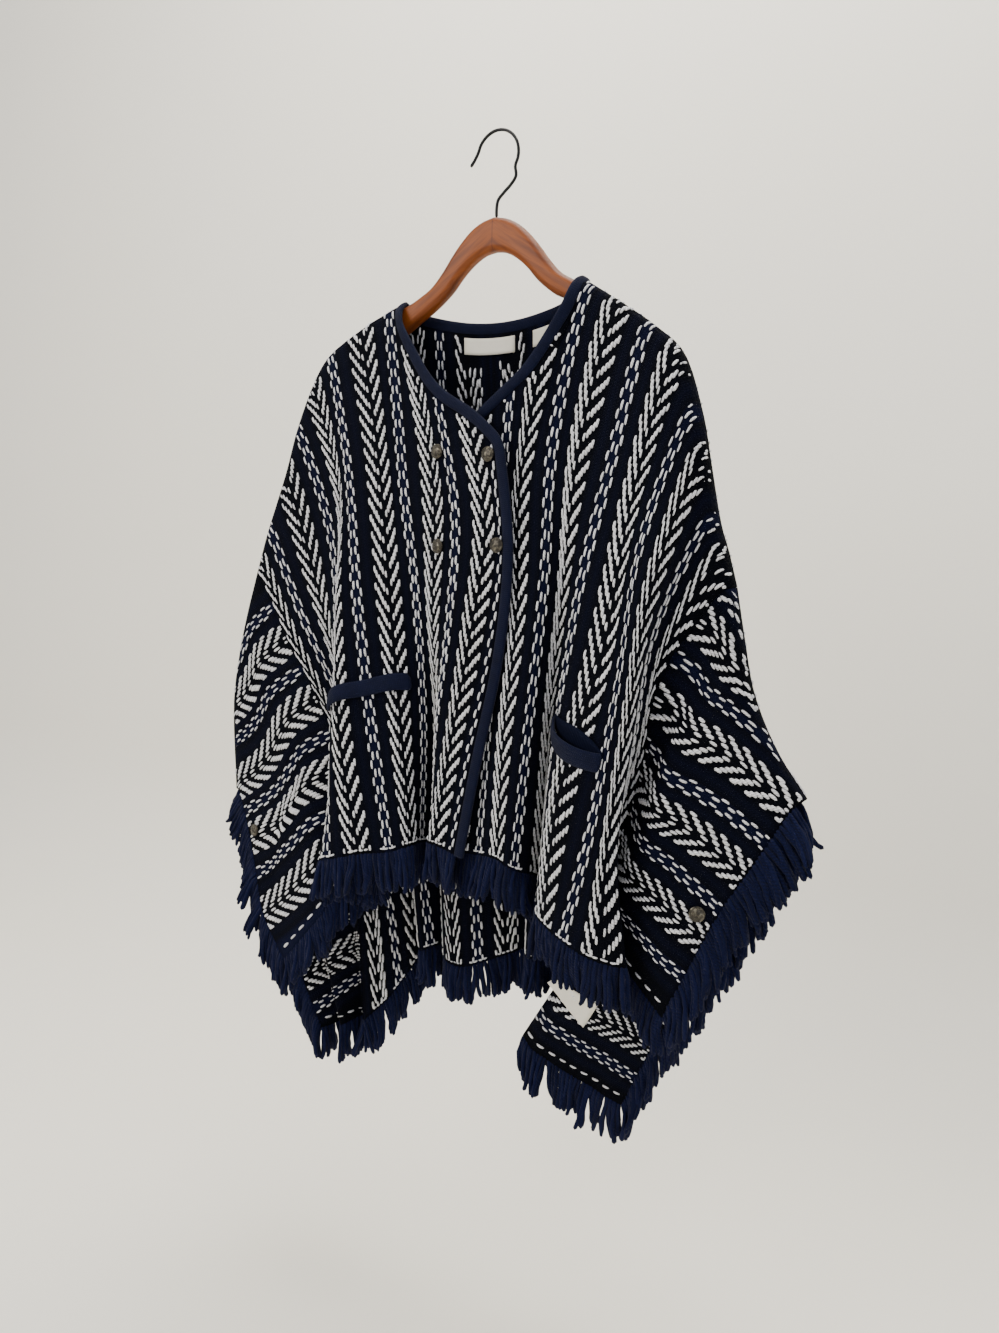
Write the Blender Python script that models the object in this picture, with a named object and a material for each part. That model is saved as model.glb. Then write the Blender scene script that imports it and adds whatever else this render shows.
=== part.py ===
"""Knitted poncho sweater, hung open and double-breasted on a wooden hanger.

The origin is inside the top of the hanger's hook. +X is to the right of someone who faces the
front, the front faces -Y and +Z is up. Left and right are named from there too. Sizes are in
millimetres, and MM turns them to metres when a mesh is made.

Every cloth panel is one surface of hang lines. A hang line is a vertical line of the cut cloth,
named by its distance across the cut, and its row in a table says where it hangs: its place at
one, two and three quarters of the way down and at the hem.
"""

from collections import namedtuple

import bmesh
import bpy
import numpy as np

MM = 0.001
WALL = 3.0                 # thickness of the knitted cloth
SEAM_GAP = 0.4             # between two pieces that are sewn together
SURFACE_GAP = 0.5          # under a piece that lies on a panel

# The cut, flat. Across is measured from the centre of the front, along from the neck point.
FRONT_EDGE = 3.0           # where the knit ends and the front binding starts
NECK_POINT = 124.0         # where the neck opening meets the shoulder
BODY_HALF = 382.0          # centre to sleeve seam
SLEEVE = 160.0             # sleeve seam to cuff

BINDING_WIDTH = 11.0
BINDING_THICKNESS = 4.6
FRINGE_LENGTH = 50.0
FRINGE_STRIP = 4.0
FRINGE_PITCH = 15.0
FRINGE_END = 1.5           # from a panel's end to the end of its strip

# How the cloth turns over the shoulder seam: distance off the seam, and drop below it.
SHOULDER_TURN = ((3.2, 0.2), (7.9, 2.1), (9.9, 7.0))
FIRST_ROWS = (0.0, 3.2, 8.4, 14.0)
ROWS_BELOW = 11
WIDEST_COLUMN = 20.0

HangLine = namedtuple("HangLine", "across x1 y1 x2 y2 x3 y3 hem_x hem_y hem_z")
SeamPoint = namedtuple("SeamPoint", "across x z")
EdgePoint = namedtuple("EdgePoint", "across x y z")

# The shoulder seam, from the neck point over the hanger's end to the sleeve seam, and the seam
# on top of the sleeve from there to the cuff. Both lie at y = 0, between front and back.
SHOULDER_RIGHT = [
    SeamPoint(124, 106, -156),
    SeamPoint(166, 144, -180),
    SeamPoint(200, 176, -202),
    SeamPoint(234, 206, -230),
    SeamPoint(268, 226, -284),
    SeamPoint(302, 236, -328),
    SeamPoint(336, 248, -382),
    SeamPoint(370, 260, -418),
    SeamPoint(382, 267, -442),
]
SHOULDER_LEFT = [
    SeamPoint(124, -120, -159.5),
    SeamPoint(166, -166, -178),
    SeamPoint(200, -212, -203),
    SeamPoint(234, -238, -236),
    SeamPoint(268, -262, -285),
    SeamPoint(302, -280, -335),
    SeamPoint(336, -308, -400),
    SeamPoint(370, -322, -438),
    SeamPoint(382, -327, -452),
]
SLEEVE_TOP_RIGHT = [
    SeamPoint(0, 267, -442),
    SeamPoint(40, 277, -490),
    SeamPoint(80, 289, -540),
    SeamPoint(120, 313, -590),
    SeamPoint(160, 343, -631),
]
SLEEVE_TOP_LEFT = [
    SeamPoint(0, -327, -452),
    SeamPoint(40, -345, -505),
    SeamPoint(80, -360, -560),
    SeamPoint(120, -370, -625),
    SeamPoint(160, -367, -728),
]

# The neck edge of each panel, from the front edge to the neck point.
NECK_RIGHT = [
    EdgePoint(3, -16, -35, -308),
    EdgePoint(30, 9, -36, -287),
    EdgePoint(64, 42, -34, -260),
    EdgePoint(98, 72, -28, -229),
    EdgePoint(108, 84, -22, -207),
    EdgePoint(117, 98, -14, -179),
]
NECK_LEFT = [
    EdgePoint(3, 36, -51, -312),
    EdgePoint(30, 2, -45, -286),
    EdgePoint(64, -42, -38, -262),
    EdgePoint(98, -80, -28, -224),
    EdgePoint(108, -98, -22, -200),
    EdgePoint(117, -112, -14, -181),
]
NECK_BACK = [
    EdgePoint(-117, -111, 12, -173),
    EdgePoint(-98, -94, 13, -178),
    EdgePoint(-64, -62, 14, -186),
    EdgePoint(-30, -29, 15, -191),
    EdgePoint(20, 19, 15, -191),
    EdgePoint(70, 66, 14, -182),
    EdgePoint(117, 97, 12, -171),
]

FRONT_RIGHT = [
    HangLine(3, -16, -36, -18, -37, -16, -38, -18, -40, -737),
    HangLine(30, 8, -40, 6, -42, 6, -43, 3, -46, -733),
    HangLine(64, 42, -44, 42, -48, 35, -50, 30, -55, -728),
    HangLine(98, 60, -42, 69, -56, 62, -66, 59, -69, -724),
    HangLine(132, 91, -32, 96, -54, 89, -66, 77, -66, -732),
    HangLine(172, 124, -34, 112, -40, 94, -30, 84, -22, -752),
    HangLine(200, 154, -40, 131, -56, 106, -46, 90, -34, -764),
    HangLine(215, 166, -44, 146, -66, 116, -62, 101, -58, -771),
    HangLine(234, 181, -46, 172, -74, 136, -80, 120, -74, -776),
    HangLine(268, 197, -62, 190, -86, 174, -88, 143, -84, -784),
    HangLine(302, 213, -72, 203, -88, 188, -88, 181, -82, -797),
    HangLine(318, 214, -68, 203, -80, 194, -78, 203, -68, -802),
    HangLine(336, 209, -56, 196, -62, 182, -58, 184, -46, -803),
    HangLine(360, 212, -46, 190, -40, 162, -34, 154, -28, -801),
    HangLine(382, 212, -42, 192, -24, 164, -14, 140, -12, -800),
]
FRONT_LEFT = [
    HangLine(3, 54, -60, 45, -60, 24, -62, 7, -66, -729),
    HangLine(30, 31, -57, 16, -59, -3, -63, -21, -65, -724),
    HangLine(45, 14, -55, 4, -58, -12, -62, -31, -61, -724),
    HangLine(64, -9, -52, -11, -56, -27, -54, -43, -34, -732),
    HangLine(98, -40, -44, -38, -46, -46, -24, -55, -8, -740),
    HangLine(132, -96, -28, -68, -37, -57, -36, -63, -30, -738),
    HangLine(166, -124, -29, -98, -44, -75, -53, -57, -57, -733),
    HangLine(200, -164, -32, -134, -53, -105, -63, -74, -71, -740),
    HangLine(234, -174, -33, -160, -56, -139, -76, -107, -81, -746),
    HangLine(262, -189, -26, -170, -46, -152, -76, -142, -86, -757),
    HangLine(280, -205, -22, -178, -36, -156, -60, -163, -82, -765),
    HangLine(302, -224, -20, -186, -22, -154, -40, -148, -62, -769),
    HangLine(336, -247, -18, -198, -12, -158, -16, -130, -38, -777),
    HangLine(360, -258, -16, -206, -12, -164, -10, -128, -20, -784),
    HangLine(382, -264, -16, -208, -15, -178, -12, -142, -10, -790),
]
BACK = [
    HangLine(-382, -255, 12, -210, 14, -186, 15, -177, 16, -999),
    HangLine(-336, -262, 18, -205, 30, -170, 36, -152, 34, -970),
    HangLine(-302, -246, 22, -196, 38, -156, 48, -133, 48, -938),
    HangLine(-268, -232, 26, -184, 42, -144, 58, -119, 62, -905),
    HangLine(-234, -208, 25, -164, 34, -128, 38, -106, 40, -891),
    HangLine(-200, -182, 20, -146, 22, -114, 18, -92, 15, -887),
    HangLine(-150, -134, 24, -112, 36, -90, 48, -76, 54, -886),
    HangLine(-98, -90, 20, -78, 21, -66, 17, -56, 15, -890),
    HangLine(-64, -60, 22, -50, 24, -40, 20, -34, 19, -894),
    HangLine(-30, -27, 25, -20, 36, -12, 40, -8, 38, -885),
    HangLine(20, 20, 26, 22, 42, 22, 56, 22, 62, -873),
    HangLine(70, 66, 23, 57, 26, 48, 30, 43, 34, -870),
    HangLine(120, 108, 24, 92, 40, 78, 56, 67, 66, -869),
    HangLine(170, 148, 23, 129, 28, 109, 38, 94, 46, -873),
    HangLine(220, 184, 26, 163, 44, 139, 60, 122, 70, -880),
    HangLine(270, 212, 27, 193, 37, 172, 50, 152, 56, -893),
    HangLine(305, 228, 22, 207, 29, 184, 36, 132, 38, -911),
    HangLine(345, 240, 16, 214, 25, 160, 31, 94, 31, -930),
    HangLine(367, 241, 12, 207, 21, 142, 28, 66, 27, -941),
    HangLine(382, 236, 8, 192, 12, 122, 16, 50, 14, -951),
]
SLEEVE_FRONT_RIGHT = [
    HangLine(20, 236, -44, 203, -34, 173, -22, 149, -4, -803),
    HangLine(40, 243, -50, 213, -50, 184, -38, 158, -8, -806),
    HangLine(80, 266, -47, 235, -56, 208, -50, 180, -26, -815),
    HangLine(120, 289, -42, 258, -51, 234, -56, 209, -42, -831),
    HangLine(160, 311, -38, 282, -47, 259, -50, 235, -50, -850),
]
SLEEVE_FRONT_LEFT = [
    HangLine(20, -286, -14, -222, -18, -197, -22, -154, -22, -800),
    HangLine(40, -302, -14, -240, -23, -214, -34, -168, -38, -812),
    HangLine(80, -319, -13, -256, -28, -246, -38, -184, -54, -842),
    HangLine(120, -330, -15, -276, -31, -270, -39, -216, -54, -880),
    HangLine(160, -330, -22, -308, -33, -290, -40, -246, -50, -913),
]
SLEEVE_BACK_RIGHT = [
    HangLine(20, 244, 6, 202, 5, 134, 3, 68, 3, -957),
    HangLine(40, 248, 7, 208, 7, 148, 5, 86, 2, -962),
    HangLine(80, 258, 11, 218, 11, 168, 8, 116, 2, -971),
    HangLine(120, 278, 11, 236, 13, 190, 10, 146, 6, -980),
    HangLine(160, 300, 8, 258, 8, 212, 8, 174, 8, -990),
]
SLEEVE_BACK_LEFT = [
    HangLine(40, -300, 18, -246, 24, -212, 30, -192, 34, -1004),
    HangLine(80, -326, 20, -280, 19, -240, 12, -206, 8, -1010),
    HangLine(120, -346, 19, -306, 22, -262, 28, -222, 34, -1018),
    HangLine(160, -348, 12, -318, 13, -282, 12, -242, 11, -1026),
]

# Buttons, by their place on a panel: across the cut and share of the way down the hang line.
BUTTON_RADIUS = 7.5
BUTTON_HEIGHT = 4.0
BUTTON_SIDES = 10
ButtonSpot = namedtuple("ButtonSpot", "name panel across down")
BUTTONS = [
    ButtonSpot("button_top_outer", "front_left", 79, 0.326),
    ButtonSpot("button_top_edge", "front_left", 11, 0.246),
    ButtonSpot("button_low_outer", "front_left", 91, 0.494),
    ButtonSpot("button_low_edge", "front_left", 11.5, 0.412),
    ButtonSpot("button_cuff_left", "sleeve_front_left", 147, 0.5),
    ButtonSpot("button_cuff_right", "sleeve_front_right", 140, 0.66),
]

# Bands that lie on a panel, from one hang line to another: the share of the way down of their top
# at each end, their height as a share too, and how far the middle of the top gapes open.
Band = namedtuple("Band", "name panel start end down_start down_end height gape")
WELTS = [
    Band("pocket_welt_left", "front_left", 148, 264, 0.742, 0.722, 0.026, 0),
    Band("pocket_welt_right", "front_right", 200, 266, 0.728, 0.706, 0.028, 7),
]
WELT_THICKNESS = 4.0
GAPE_SAG = 0.0024           # how far down a gaping band hangs, a share for each millimetre it gapes
FLAT_LABELS = [
    Band("label_neck", "back", -46, 18, 0.219, 0.219, 0.019, 0),
    Band("label_size", "back", 40, 62, 0.219, 0.219, 0.019, 0),
]
LABEL_THICKNESS = 0.8
CARE_LABEL = [(85, 0.2, -874), (94, 0.2, -867), (145, 0.2, -883), (129, 0.2, -913)]

# The hanger: its outline from the centre to the end, one half; the cloth covers the outer part.
WOOD_THICKNESS = 16.0
WOOD_EDGE = 5.0
WOOD_TOP = [(0, -82), (14, -85), (26, -91), (38, -101), (50, -114), (62, -129), (76, -143), (92, -152)]
WOOD_UNDER = [(92, -176), (70, -163), (52, -149), (38, -134), (24, -123), (12, -117), (0, -115)]
WOOD_ENDS = (208, 192)     # how far the wood goes under the cloth, right and left
WOOD_DEPTH = 26.0
WOOD_DROP = 3.6            # from the middle of the cloth down to the wood under it

WIRE_RADIUS = 1.6
HOOK_RADIUS = 24.0


def smooth(keys, values, key):
    """Cubic through (keys, values) at key, with the slope at each key taken from its neighbours."""
    keys = np.asarray(keys, float)
    values = np.asarray(values, float)
    key = min(max(key, keys[0]), keys[-1])
    i = int(min(max(np.searchsorted(keys, key) - 1, 0), len(keys) - 2))
    slopes = np.gradient(values, keys, axis=0)
    span = keys[i + 1] - keys[i]
    t = (key - keys[i]) / span
    start = values[i] * (2 * t ** 3 - 3 * t ** 2 + 1) + slopes[i] * span * (t ** 3 - 2 * t ** 2 + t)
    end = values[i + 1] * (3 * t ** 2 - 2 * t ** 3) + slopes[i + 1] * span * (t ** 3 - t ** 2)
    return start + end


def even_points(points, distances_from_start, count_below):
    """Points along a smooth curve: some at set distances, then the rest evenly down to its end."""
    points = np.asarray(points, float)
    steps = np.sqrt(np.linalg.norm(np.diff(points, axis=0), axis=1))
    keys = np.concatenate([[0.0], np.cumsum(steps)])
    fine = np.array([smooth(keys, points, key) for key in np.linspace(0, keys[-1], 97)])
    lengths = np.concatenate([[0.0], np.cumsum(np.linalg.norm(np.diff(fine, axis=0), axis=1))])
    first = distances_from_start[-1]
    below = np.linspace(first, lengths[-1], count_below + 1)[1:]
    wanted = np.concatenate([distances_from_start, below])
    return np.stack([np.interp(wanted, lengths, fine[:, axis]) for axis in range(3)], axis=1)


def unit(vectors):
    """Vectors of length one."""
    vectors = np.asarray(vectors, float)
    return vectors / np.linalg.norm(vectors, axis=-1, keepdims=True)


class Side:
    """One face of the garment, left or right and front or back: its hang lines and its top edge."""

    def __init__(self, rows, seam, neck, facing):
        self.rows = rows
        self.seam = seam
        self.neck = neck
        self.facing = facing

    def seam_place(self, across):
        """The middle of the cloth on the seam at the top of a hang line, and the way out from it."""
        keys = [point.across for point in self.seam]
        places = [(point.x, point.z) for point in self.seam]
        x, z = smooth(keys, places, across)
        ahead = smooth(keys, places, across + 2)
        behind = smooth(keys, places, across - 2)
        run = unit(ahead - behind)
        outward = np.array([-run[1], 0.0, run[0]]) * np.sign(x)
        return np.array([x, 0.0, z]), outward

    def over_seam(self, across):
        """The first points of a hang line, from the seam over the turn of the shoulder."""
        top, outward = self.seam_place(across)
        points = [top]
        for off, drop in SHOULDER_TURN:
            points.append(top + np.array([0, self.facing * off, 0]) - outward * drop)
        return points

    def line(self, across):
        """Control points of one hang line, from its top to the hem."""
        table = np.array([row[1:] for row in self.rows])
        x1, y1, x2, y2, x3, y3, hem_x, hem_y, hem_z = smooth([row.across for row in self.rows], table, across)
        hem = np.array([hem_x, hem_y, hem_z])
        if self.neck and across < NECK_POINT:
            keys = [point.across for point in self.neck]
            start = [smooth(keys, [point[1:] for point in self.neck], across)]
        else:
            start = self.over_seam(across)
        top = start[0]
        drop = hem[2] - top[2]
        below = [
            np.array([x1, y1, top[2] + drop * 0.25]),
            np.array([x2, y2, top[2] + drop * 0.5]),
            np.array([x3, y3, top[2] + drop * 0.75]),
            hem,
        ]
        return start + below

    def columns(self, stations):
        """Grid of points, a column for each hang line and a row for each step down."""
        columns = []
        for across in stations:
            starts = FIRST_ROWS if self.first_row(across) == 0 else [0.0] * len(FIRST_ROWS)
            columns.append(even_points(self.line(across), starts, ROWS_BELOW))
        return np.array(columns)

    def first_row(self, across):
        """A line inside the neck has no rows over the turn of the shoulder."""
        return len(FIRST_ROWS) - 1 if self.neck and across < NECK_POINT else 0


def spread(stations, widest):
    """Stations with more put in between, so that no two are further apart than widest."""
    result = [stations[0]]
    for start, end in zip(stations, stations[1:]):
        parts = max(1, int(np.ceil((end - start) / widest)))
        for part in range(1, parts + 1):
            result.append(start + (end - start) * part / parts)
    return result


def cells(first_rows, rows):
    """The cells of a grid, where each column starts at its own first row."""
    return [(i, j) for i in range(len(first_rows) - 1) for j in range(max(first_rows[i:i + 2]), rows - 1)]


def grid_normals(grid, first_rows, outward_y):
    """Normals of a grid, the mean of the faces round each point, turned to the front (-1) or back (+1)."""
    normals = np.zeros(grid.shape)
    for i, j in cells(first_rows, grid.shape[1]):
        face = unit(np.cross(grid[i + 1, j] - grid[i, j + 1], grid[i + 1, j + 1] - grid[i, j]))
        normals[i:i + 2, j:j + 2] += face
    lengths = np.linalg.norm(normals, axis=-1, keepdims=True)
    normals = normals / np.maximum(lengths, 1e-9)
    if normals[len(grid) // 2, -3, 1] * outward_y < 0:
        normals = -normals
    return normals


class Sheet:
    """A panel: its mid-surface as a grid, its normals, the stations across and each column's first row."""

    def __init__(self, grid, normals, stations, first_rows):
        self.grid = grid
        self.normals = normals
        self.stations = np.array(stations, float)
        self.first_rows = first_rows

    def at(self, across, down):
        """A point of the panel's own facets and its normal, by hang line and share of the way down."""
        column = np.interp(across, self.stations, np.arange(len(self.stations)))
        rows = len(self.grid[0]) - 1
        row = down * rows
        i = int(min(column, len(self.stations) - 2))
        j = int(min(row, rows - 1))
        u = column - i
        v = row - j
        corners = ((i, j, (1 - u) * (1 - v)), (i + 1, j, u * (1 - v)), (i, j + 1, (1 - u) * v), (i + 1, j + 1, u * v))
        place = sum(self.grid[a, b] * weight for a, b, weight in corners)
        normal = unit(sum(self.normals[a, b] * weight for a, b, weight in corners))
        return place, normal


def joined_sides(parts, outward_y):
    """Panels that share seams: one smooth grid with one set of normals, then cut at each seam."""
    grids = []
    for index, (side, stations) in enumerate(parts):
        grid = side.columns(stations)
        grids.append(grid if index == 0 else grid[1:])
    whole = np.concatenate(grids)
    first_rows = [side.first_row(across) for side, stations in parts for across in stations]
    del first_rows[len(parts[0][1])]
    normals = grid_normals(whole, first_rows, outward_y)
    start = 0
    sheets = []
    for index, (side, stations) in enumerate(parts):
        end = start + len(stations) - 1
        grid = whole[start:end + 1].copy()
        across = np.gradient(whole, axis=0)
        if index > 0:
            grid[0] += unit(across[start]) * SEAM_GAP / 2
        if index < len(parts) - 1:
            grid[-1] -= unit(across[end]) * SEAM_GAP / 2
        sheets.append(Sheet(grid, normals[start:end + 1].copy(), stations, first_rows[start:end + 1]))
        start = end
    return sheets


def settle_top(sheet, side, stations):
    """The top row lies on the shoulder or sleeve seam, square to it and half a gap off."""
    for column, across in enumerate(stations):
        if across < 0:
            continue
        if sheet.first_rows[column] > 0:
            continue
        sheet.normals[column, 0] = side.seam_place(across)[1]
        sheet.grid[column, 0, 1] += side.facing * SEAM_GAP / 2


def add_object(name, mesh_builder, finish):
    """A mesh object from a bmesh in millimetres, with its material."""
    mesh_builder.normal_update()
    bmesh.ops.recalc_face_normals(mesh_builder, faces=mesh_builder.faces)
    bmesh.ops.scale(mesh_builder, vec=(MM, MM, MM), verts=mesh_builder.verts)
    mesh = bpy.data.meshes.new(name)
    mesh_builder.to_mesh(mesh)
    mesh_builder.free()
    mesh.materials.append(finish)
    made = bpy.data.objects.new(name, mesh)
    bpy.context.scene.collection.objects.link(made)
    return made


def material(name, colour, roughness, metallic=0.0):
    """A plain Principled material."""
    made = bpy.data.materials.new(name)
    made.use_nodes = True
    shader = made.node_tree.nodes["Principled BSDF"]
    shader.inputs["Base Color"].default_value = (*colour, 1.0)
    shader.inputs["Roughness"].default_value = roughness
    shader.inputs["Metallic"].default_value = metallic
    return made


def wall(name, outer, inner, finish, first_rows=None):
    """A closed wall between two grids of points."""
    builder = bmesh.new()
    corners = {}

    def corner(layer, place):
        if (layer, place) not in corners:
            corners[layer, place] = builder.verts.new((outer if layer == 0 else inner)[place])
        return corners[layer, place]

    border = set()
    for i, j in cells(first_rows or [0] * len(outer), outer.shape[1]):
        ring = [(i, j), (i + 1, j), (i + 1, j + 1), (i, j + 1)]
        for layer in (0, 1):
            builder.faces.new([corner(layer, place) for place in ring])
        for start, end in zip(ring, ring[1:] + ring[:1]):
            if (end, start) in border:
                border.remove((end, start))
            else:
                border.add((start, end))
    for start, end in sorted(border):
        builder.faces.new((corner(0, start), corner(0, end), corner(1, end), corner(1, start)))
    return add_object(name, builder, finish)


def cloth_wall(name, sheet, finish):
    """A panel's wall, half of its thickness to each side of the mid-surface."""
    half = sheet.normals * WALL / 2
    return wall(name, sheet.grid + half, sheet.grid - half, finish, sheet.first_rows)


def edge_frame(points, normals, inside):
    """For an edge of a panel: the way out of the panel, square to the edge and to its normals."""
    along = unit(np.gradient(points, axis=0))
    out = unit(np.cross(along, normals))
    if np.sum(out * (points - inside)) < 0:
        out = -out
    return out


def binding(name, sheet, route, beside, finish):
    """A band that runs along the outside of an edge, with a rounded outer side."""
    points = np.array([sheet.grid[place] for place in route])
    normals = np.array([sheet.normals[place] for place in route])
    out = edge_frame(points, normals, np.array([sheet.grid[place] for place in beside]))
    inside_face = -WALL / 2
    outside_face = inside_face + BINDING_THICKNESS
    bend = BINDING_WIDTH * 0.7
    near = SEAM_GAP * 2
    profile = ((near, outside_face), (bend, outside_face), (BINDING_WIDTH, (outside_face + inside_face) / 2),
               (bend, inside_face), (near, inside_face))
    loop = np.array([points + out * away + normals * up for away, up in profile])
    return swept(name, loop, finish)


def swept(name, loop, finish):
    """A closed solid swept through rings: loop[side, station]."""
    builder = bmesh.new()
    rings = [[builder.verts.new(point) for point in ring] for ring in np.swapaxes(loop, 0, 1)]
    for ring, following in zip(rings, rings[1:]):
        for side in range(len(ring)):
            other = (side + 1) % len(ring)
            builder.faces.new((ring[side], ring[other], following[other], following[side]))
    builder.faces.new(rings[0])
    builder.faces.new(rings[-1])
    return add_object(name, builder, finish)


def fringe(name, points, normals, inside, lean_start, lean_end, finish):
    """A narrow strip below an edge, and strands that hang from it, each beside a space."""
    out = edge_frame(points, normals, inside)
    lengths = np.linalg.norm(np.diff(points, axis=0), axis=1)
    stations = [FRINGE_END / lengths[0]]
    strands = []
    for i in range(len(points) - 1):
        count = int(round(lengths[i] / FRINGE_PITCH))
        for step in range(count):
            strands.append(len(stations))
            stations += [i + (step + 0.28) / count, i + (step + 0.72) / count]
        stations.append(i + 1.0)
    stations[-1] -= FRINGE_END / lengths[-1]
    keys = np.arange(len(points))

    def between(values):
        return np.stack([np.interp(stations, keys, values[:, axis]) for axis in range(3)], axis=1)

    half = WALL / 2
    near = SEAM_GAP * 2
    builder = bmesh.new()
    rings = []
    for place, normal, away in zip(between(points), unit(between(normals)), unit(between(out))):
        corners = []
        for reach, up in ((near, half), (FRINGE_STRIP, half), (FRINGE_STRIP, -half), (near, -half)):
            corners.append(builder.verts.new(place + away * reach + normal * up))
        rings.append(corners)
    for index, (ring, following) in enumerate(zip(rings, rings[1:])):
        has_strand = index in strands
        for side in range(4):
            other = (side + 1) % 4
            if side != 1 or not has_strand:
                builder.faces.new((ring[side], ring[other], following[other], following[side]))
        if has_strand:
            share = index / (len(rings) - 2)
            root = [ring[1], ring[2], following[2], following[1]]
            places = np.array([corner.co[:] for corner in root])
            centre = places.mean(axis=0)
            away = unit(centre - np.mean([ring[0].co[:], ring[3].co[:], following[0].co[:], following[3].co[:]], axis=0))
            lean = unit(np.array(lean_start) * (1 - share) + np.array(lean_end) * share + away * 0.2)
            tip = [builder.verts.new(centre + (place - centre) * 0.7 + lean * FRINGE_LENGTH) for place in places]
            for side in range(4):
                other = (side + 1) % 4
                builder.faces.new((root[side], root[other], tip[other], tip[side]))
            builder.faces.new(tip)
    builder.faces.new(rings[0])
    builder.faces.new(rings[-1])
    return add_object(name, builder, finish)


def button(name, sheet, across, down, finish):
    """A domed button with a rim, on the outside of a panel."""
    place, normal = sheet.at(across, down)
    aside = unit(np.cross(normal, (0, 0, 1)))
    up = np.cross(aside, normal)
    seat = place + normal * (WALL / 2 + SURFACE_GAP + 0.3)
    rings = ((0.55, 0.0), (0.98, 0.9), (1.0, 2.2), (0.84, BUTTON_HEIGHT - 0.6), (0.5, BUTTON_HEIGHT))
    angles = np.linspace(0, 2 * np.pi, BUTTON_SIDES, endpoint=False)
    loop = []
    for angle in angles:
        spoke = aside * np.cos(angle) + up * np.sin(angle)
        loop.append([seat + spoke * BUTTON_RADIUS * size + normal * height for size, height in rings])
    return swept(name, np.array(loop), finish)


def band(piece, sheet, side, thickness, finish):
    """A band that lies on a panel, outside (1) or inside (-1), made from the panel's own points moved out."""
    inside = [s for s in sheet.stations if piece.start < s < piece.end]
    layers = ([], [])
    seat = 0.65 if piece.gape else 0.4
    for across in [piece.start] + inside + [piece.end]:
        along = (across - piece.start) / (piece.end - piece.start)
        top = piece.down_start + (piece.down_end - piece.down_start) * along
        lift = piece.gape * np.sin(np.pi * along)
        top += GAPE_SAG * lift
        columns = ([], [])
        for step in range(3):
            place, normal = sheet.at(across, top + piece.height * step / 2)
            away = WALL / 2 + SURFACE_GAP + seat + lift * (1 - step / 2)
            columns[0].append(place + normal * side * (away + thickness))
            columns[1].append(place + normal * side * away)
        layers[0].append(columns[0])
        layers[1].append(columns[1])
    return wall(piece.name, np.array(layers[0]), np.array(layers[1]), finish)


def label(name, corners, thickness, finish):
    """A small bare label: four corners, and a thickness square to them."""
    corners = np.array(corners, float)
    square = unit(np.cross(corners[1] - corners[0], corners[3] - corners[0]))
    loop = np.array([[corner, corner + square * thickness] for corner in corners])
    return swept(name, loop, finish)


def hanger_wood(finish):
    """The flat wooden bar: its outline pulled out to its thickness, with soft edges."""
    outline = []
    for side, seam, end in ((1, SHOULDER_RIGHT, WOOD_ENDS[0]), (-1, SHOULDER_LEFT, WOOD_ENDS[1])):
        shoulder = Side(None, seam, None, 0)
        tops = []
        lows = []
        for across in np.linspace(128, end, 5):
            place, outward = shoulder.seam_place(across)
            top = place - outward * WOOD_DROP
            low = top - outward * (WOOD_DEPTH if across < end else WOOD_DEPTH / 2)
            tops.append((top[0], top[2]))
            lows.append((low[0], low[2]))
        half = [(side * x, z) for x, z in WOOD_TOP] + tops + lows[::-1]
        half += [(side * x, z) for x, z in WOOD_UNDER]
        outline.append(half)
    right, left = outline
    points = right + left[1:-1][::-1]
    builder = bmesh.new()
    verts = [builder.verts.new((x, -WOOD_THICKNESS / 2, z)) for x, z in points]
    face = builder.faces.new(verts)
    pulled = bmesh.ops.extrude_face_region(builder, geom=[face])
    moved = [item for item in pulled["geom"] if isinstance(item, bmesh.types.BMVert)]
    bmesh.ops.translate(builder, verts=moved, vec=(0, WOOD_THICKNESS, 0))
    rims = [edge for edge in builder.edges
            if abs(edge.verts[0].co.y - edge.verts[1].co.y) < 0.01]
    bmesh.ops.bevel(builder, geom=rims, offset=WOOD_EDGE, segments=2, profile=0.5, affect="EDGES", material=-1)
    return add_object("hanger_wood", builder, finish)


def hanger_hook(finish):
    """The wire hook: a stem, a bend to the side and an open loop."""
    loop_centre = -HOOK_RADIUS
    start = [(0, -83.1), (0, -74), (1.5, -67), (8, -60.5), (16, -54), (21.5, -47)]
    turn = [(HOOK_RADIUS * np.cos(a), loop_centre + HOOK_RADIUS * np.sin(a))
            for a in np.radians(np.arange(-30, 166, 15))]
    end = [(-27, -24), (-32, -30)]
    route = start + turn + end
    curve = bpy.data.curves.new("hanger_hook", "CURVE")
    curve.dimensions = "3D"
    curve.bevel_depth = WIRE_RADIUS * MM
    curve.bevel_resolution = 2
    curve.render_resolution_u = 0
    curve.use_fill_caps = True
    spline = curve.splines.new("POLY")
    spline.points.add(len(route) - 1)
    for point, (x, z) in zip(spline.points, route):
        point.co = (x * MM, 0.0, (z + WIRE_RADIUS) * MM, 1.0)
    curve.materials.append(finish)
    made = bpy.data.objects.new("hanger_hook", curve)
    bpy.context.scene.collection.objects.link(made)
    return made


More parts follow.
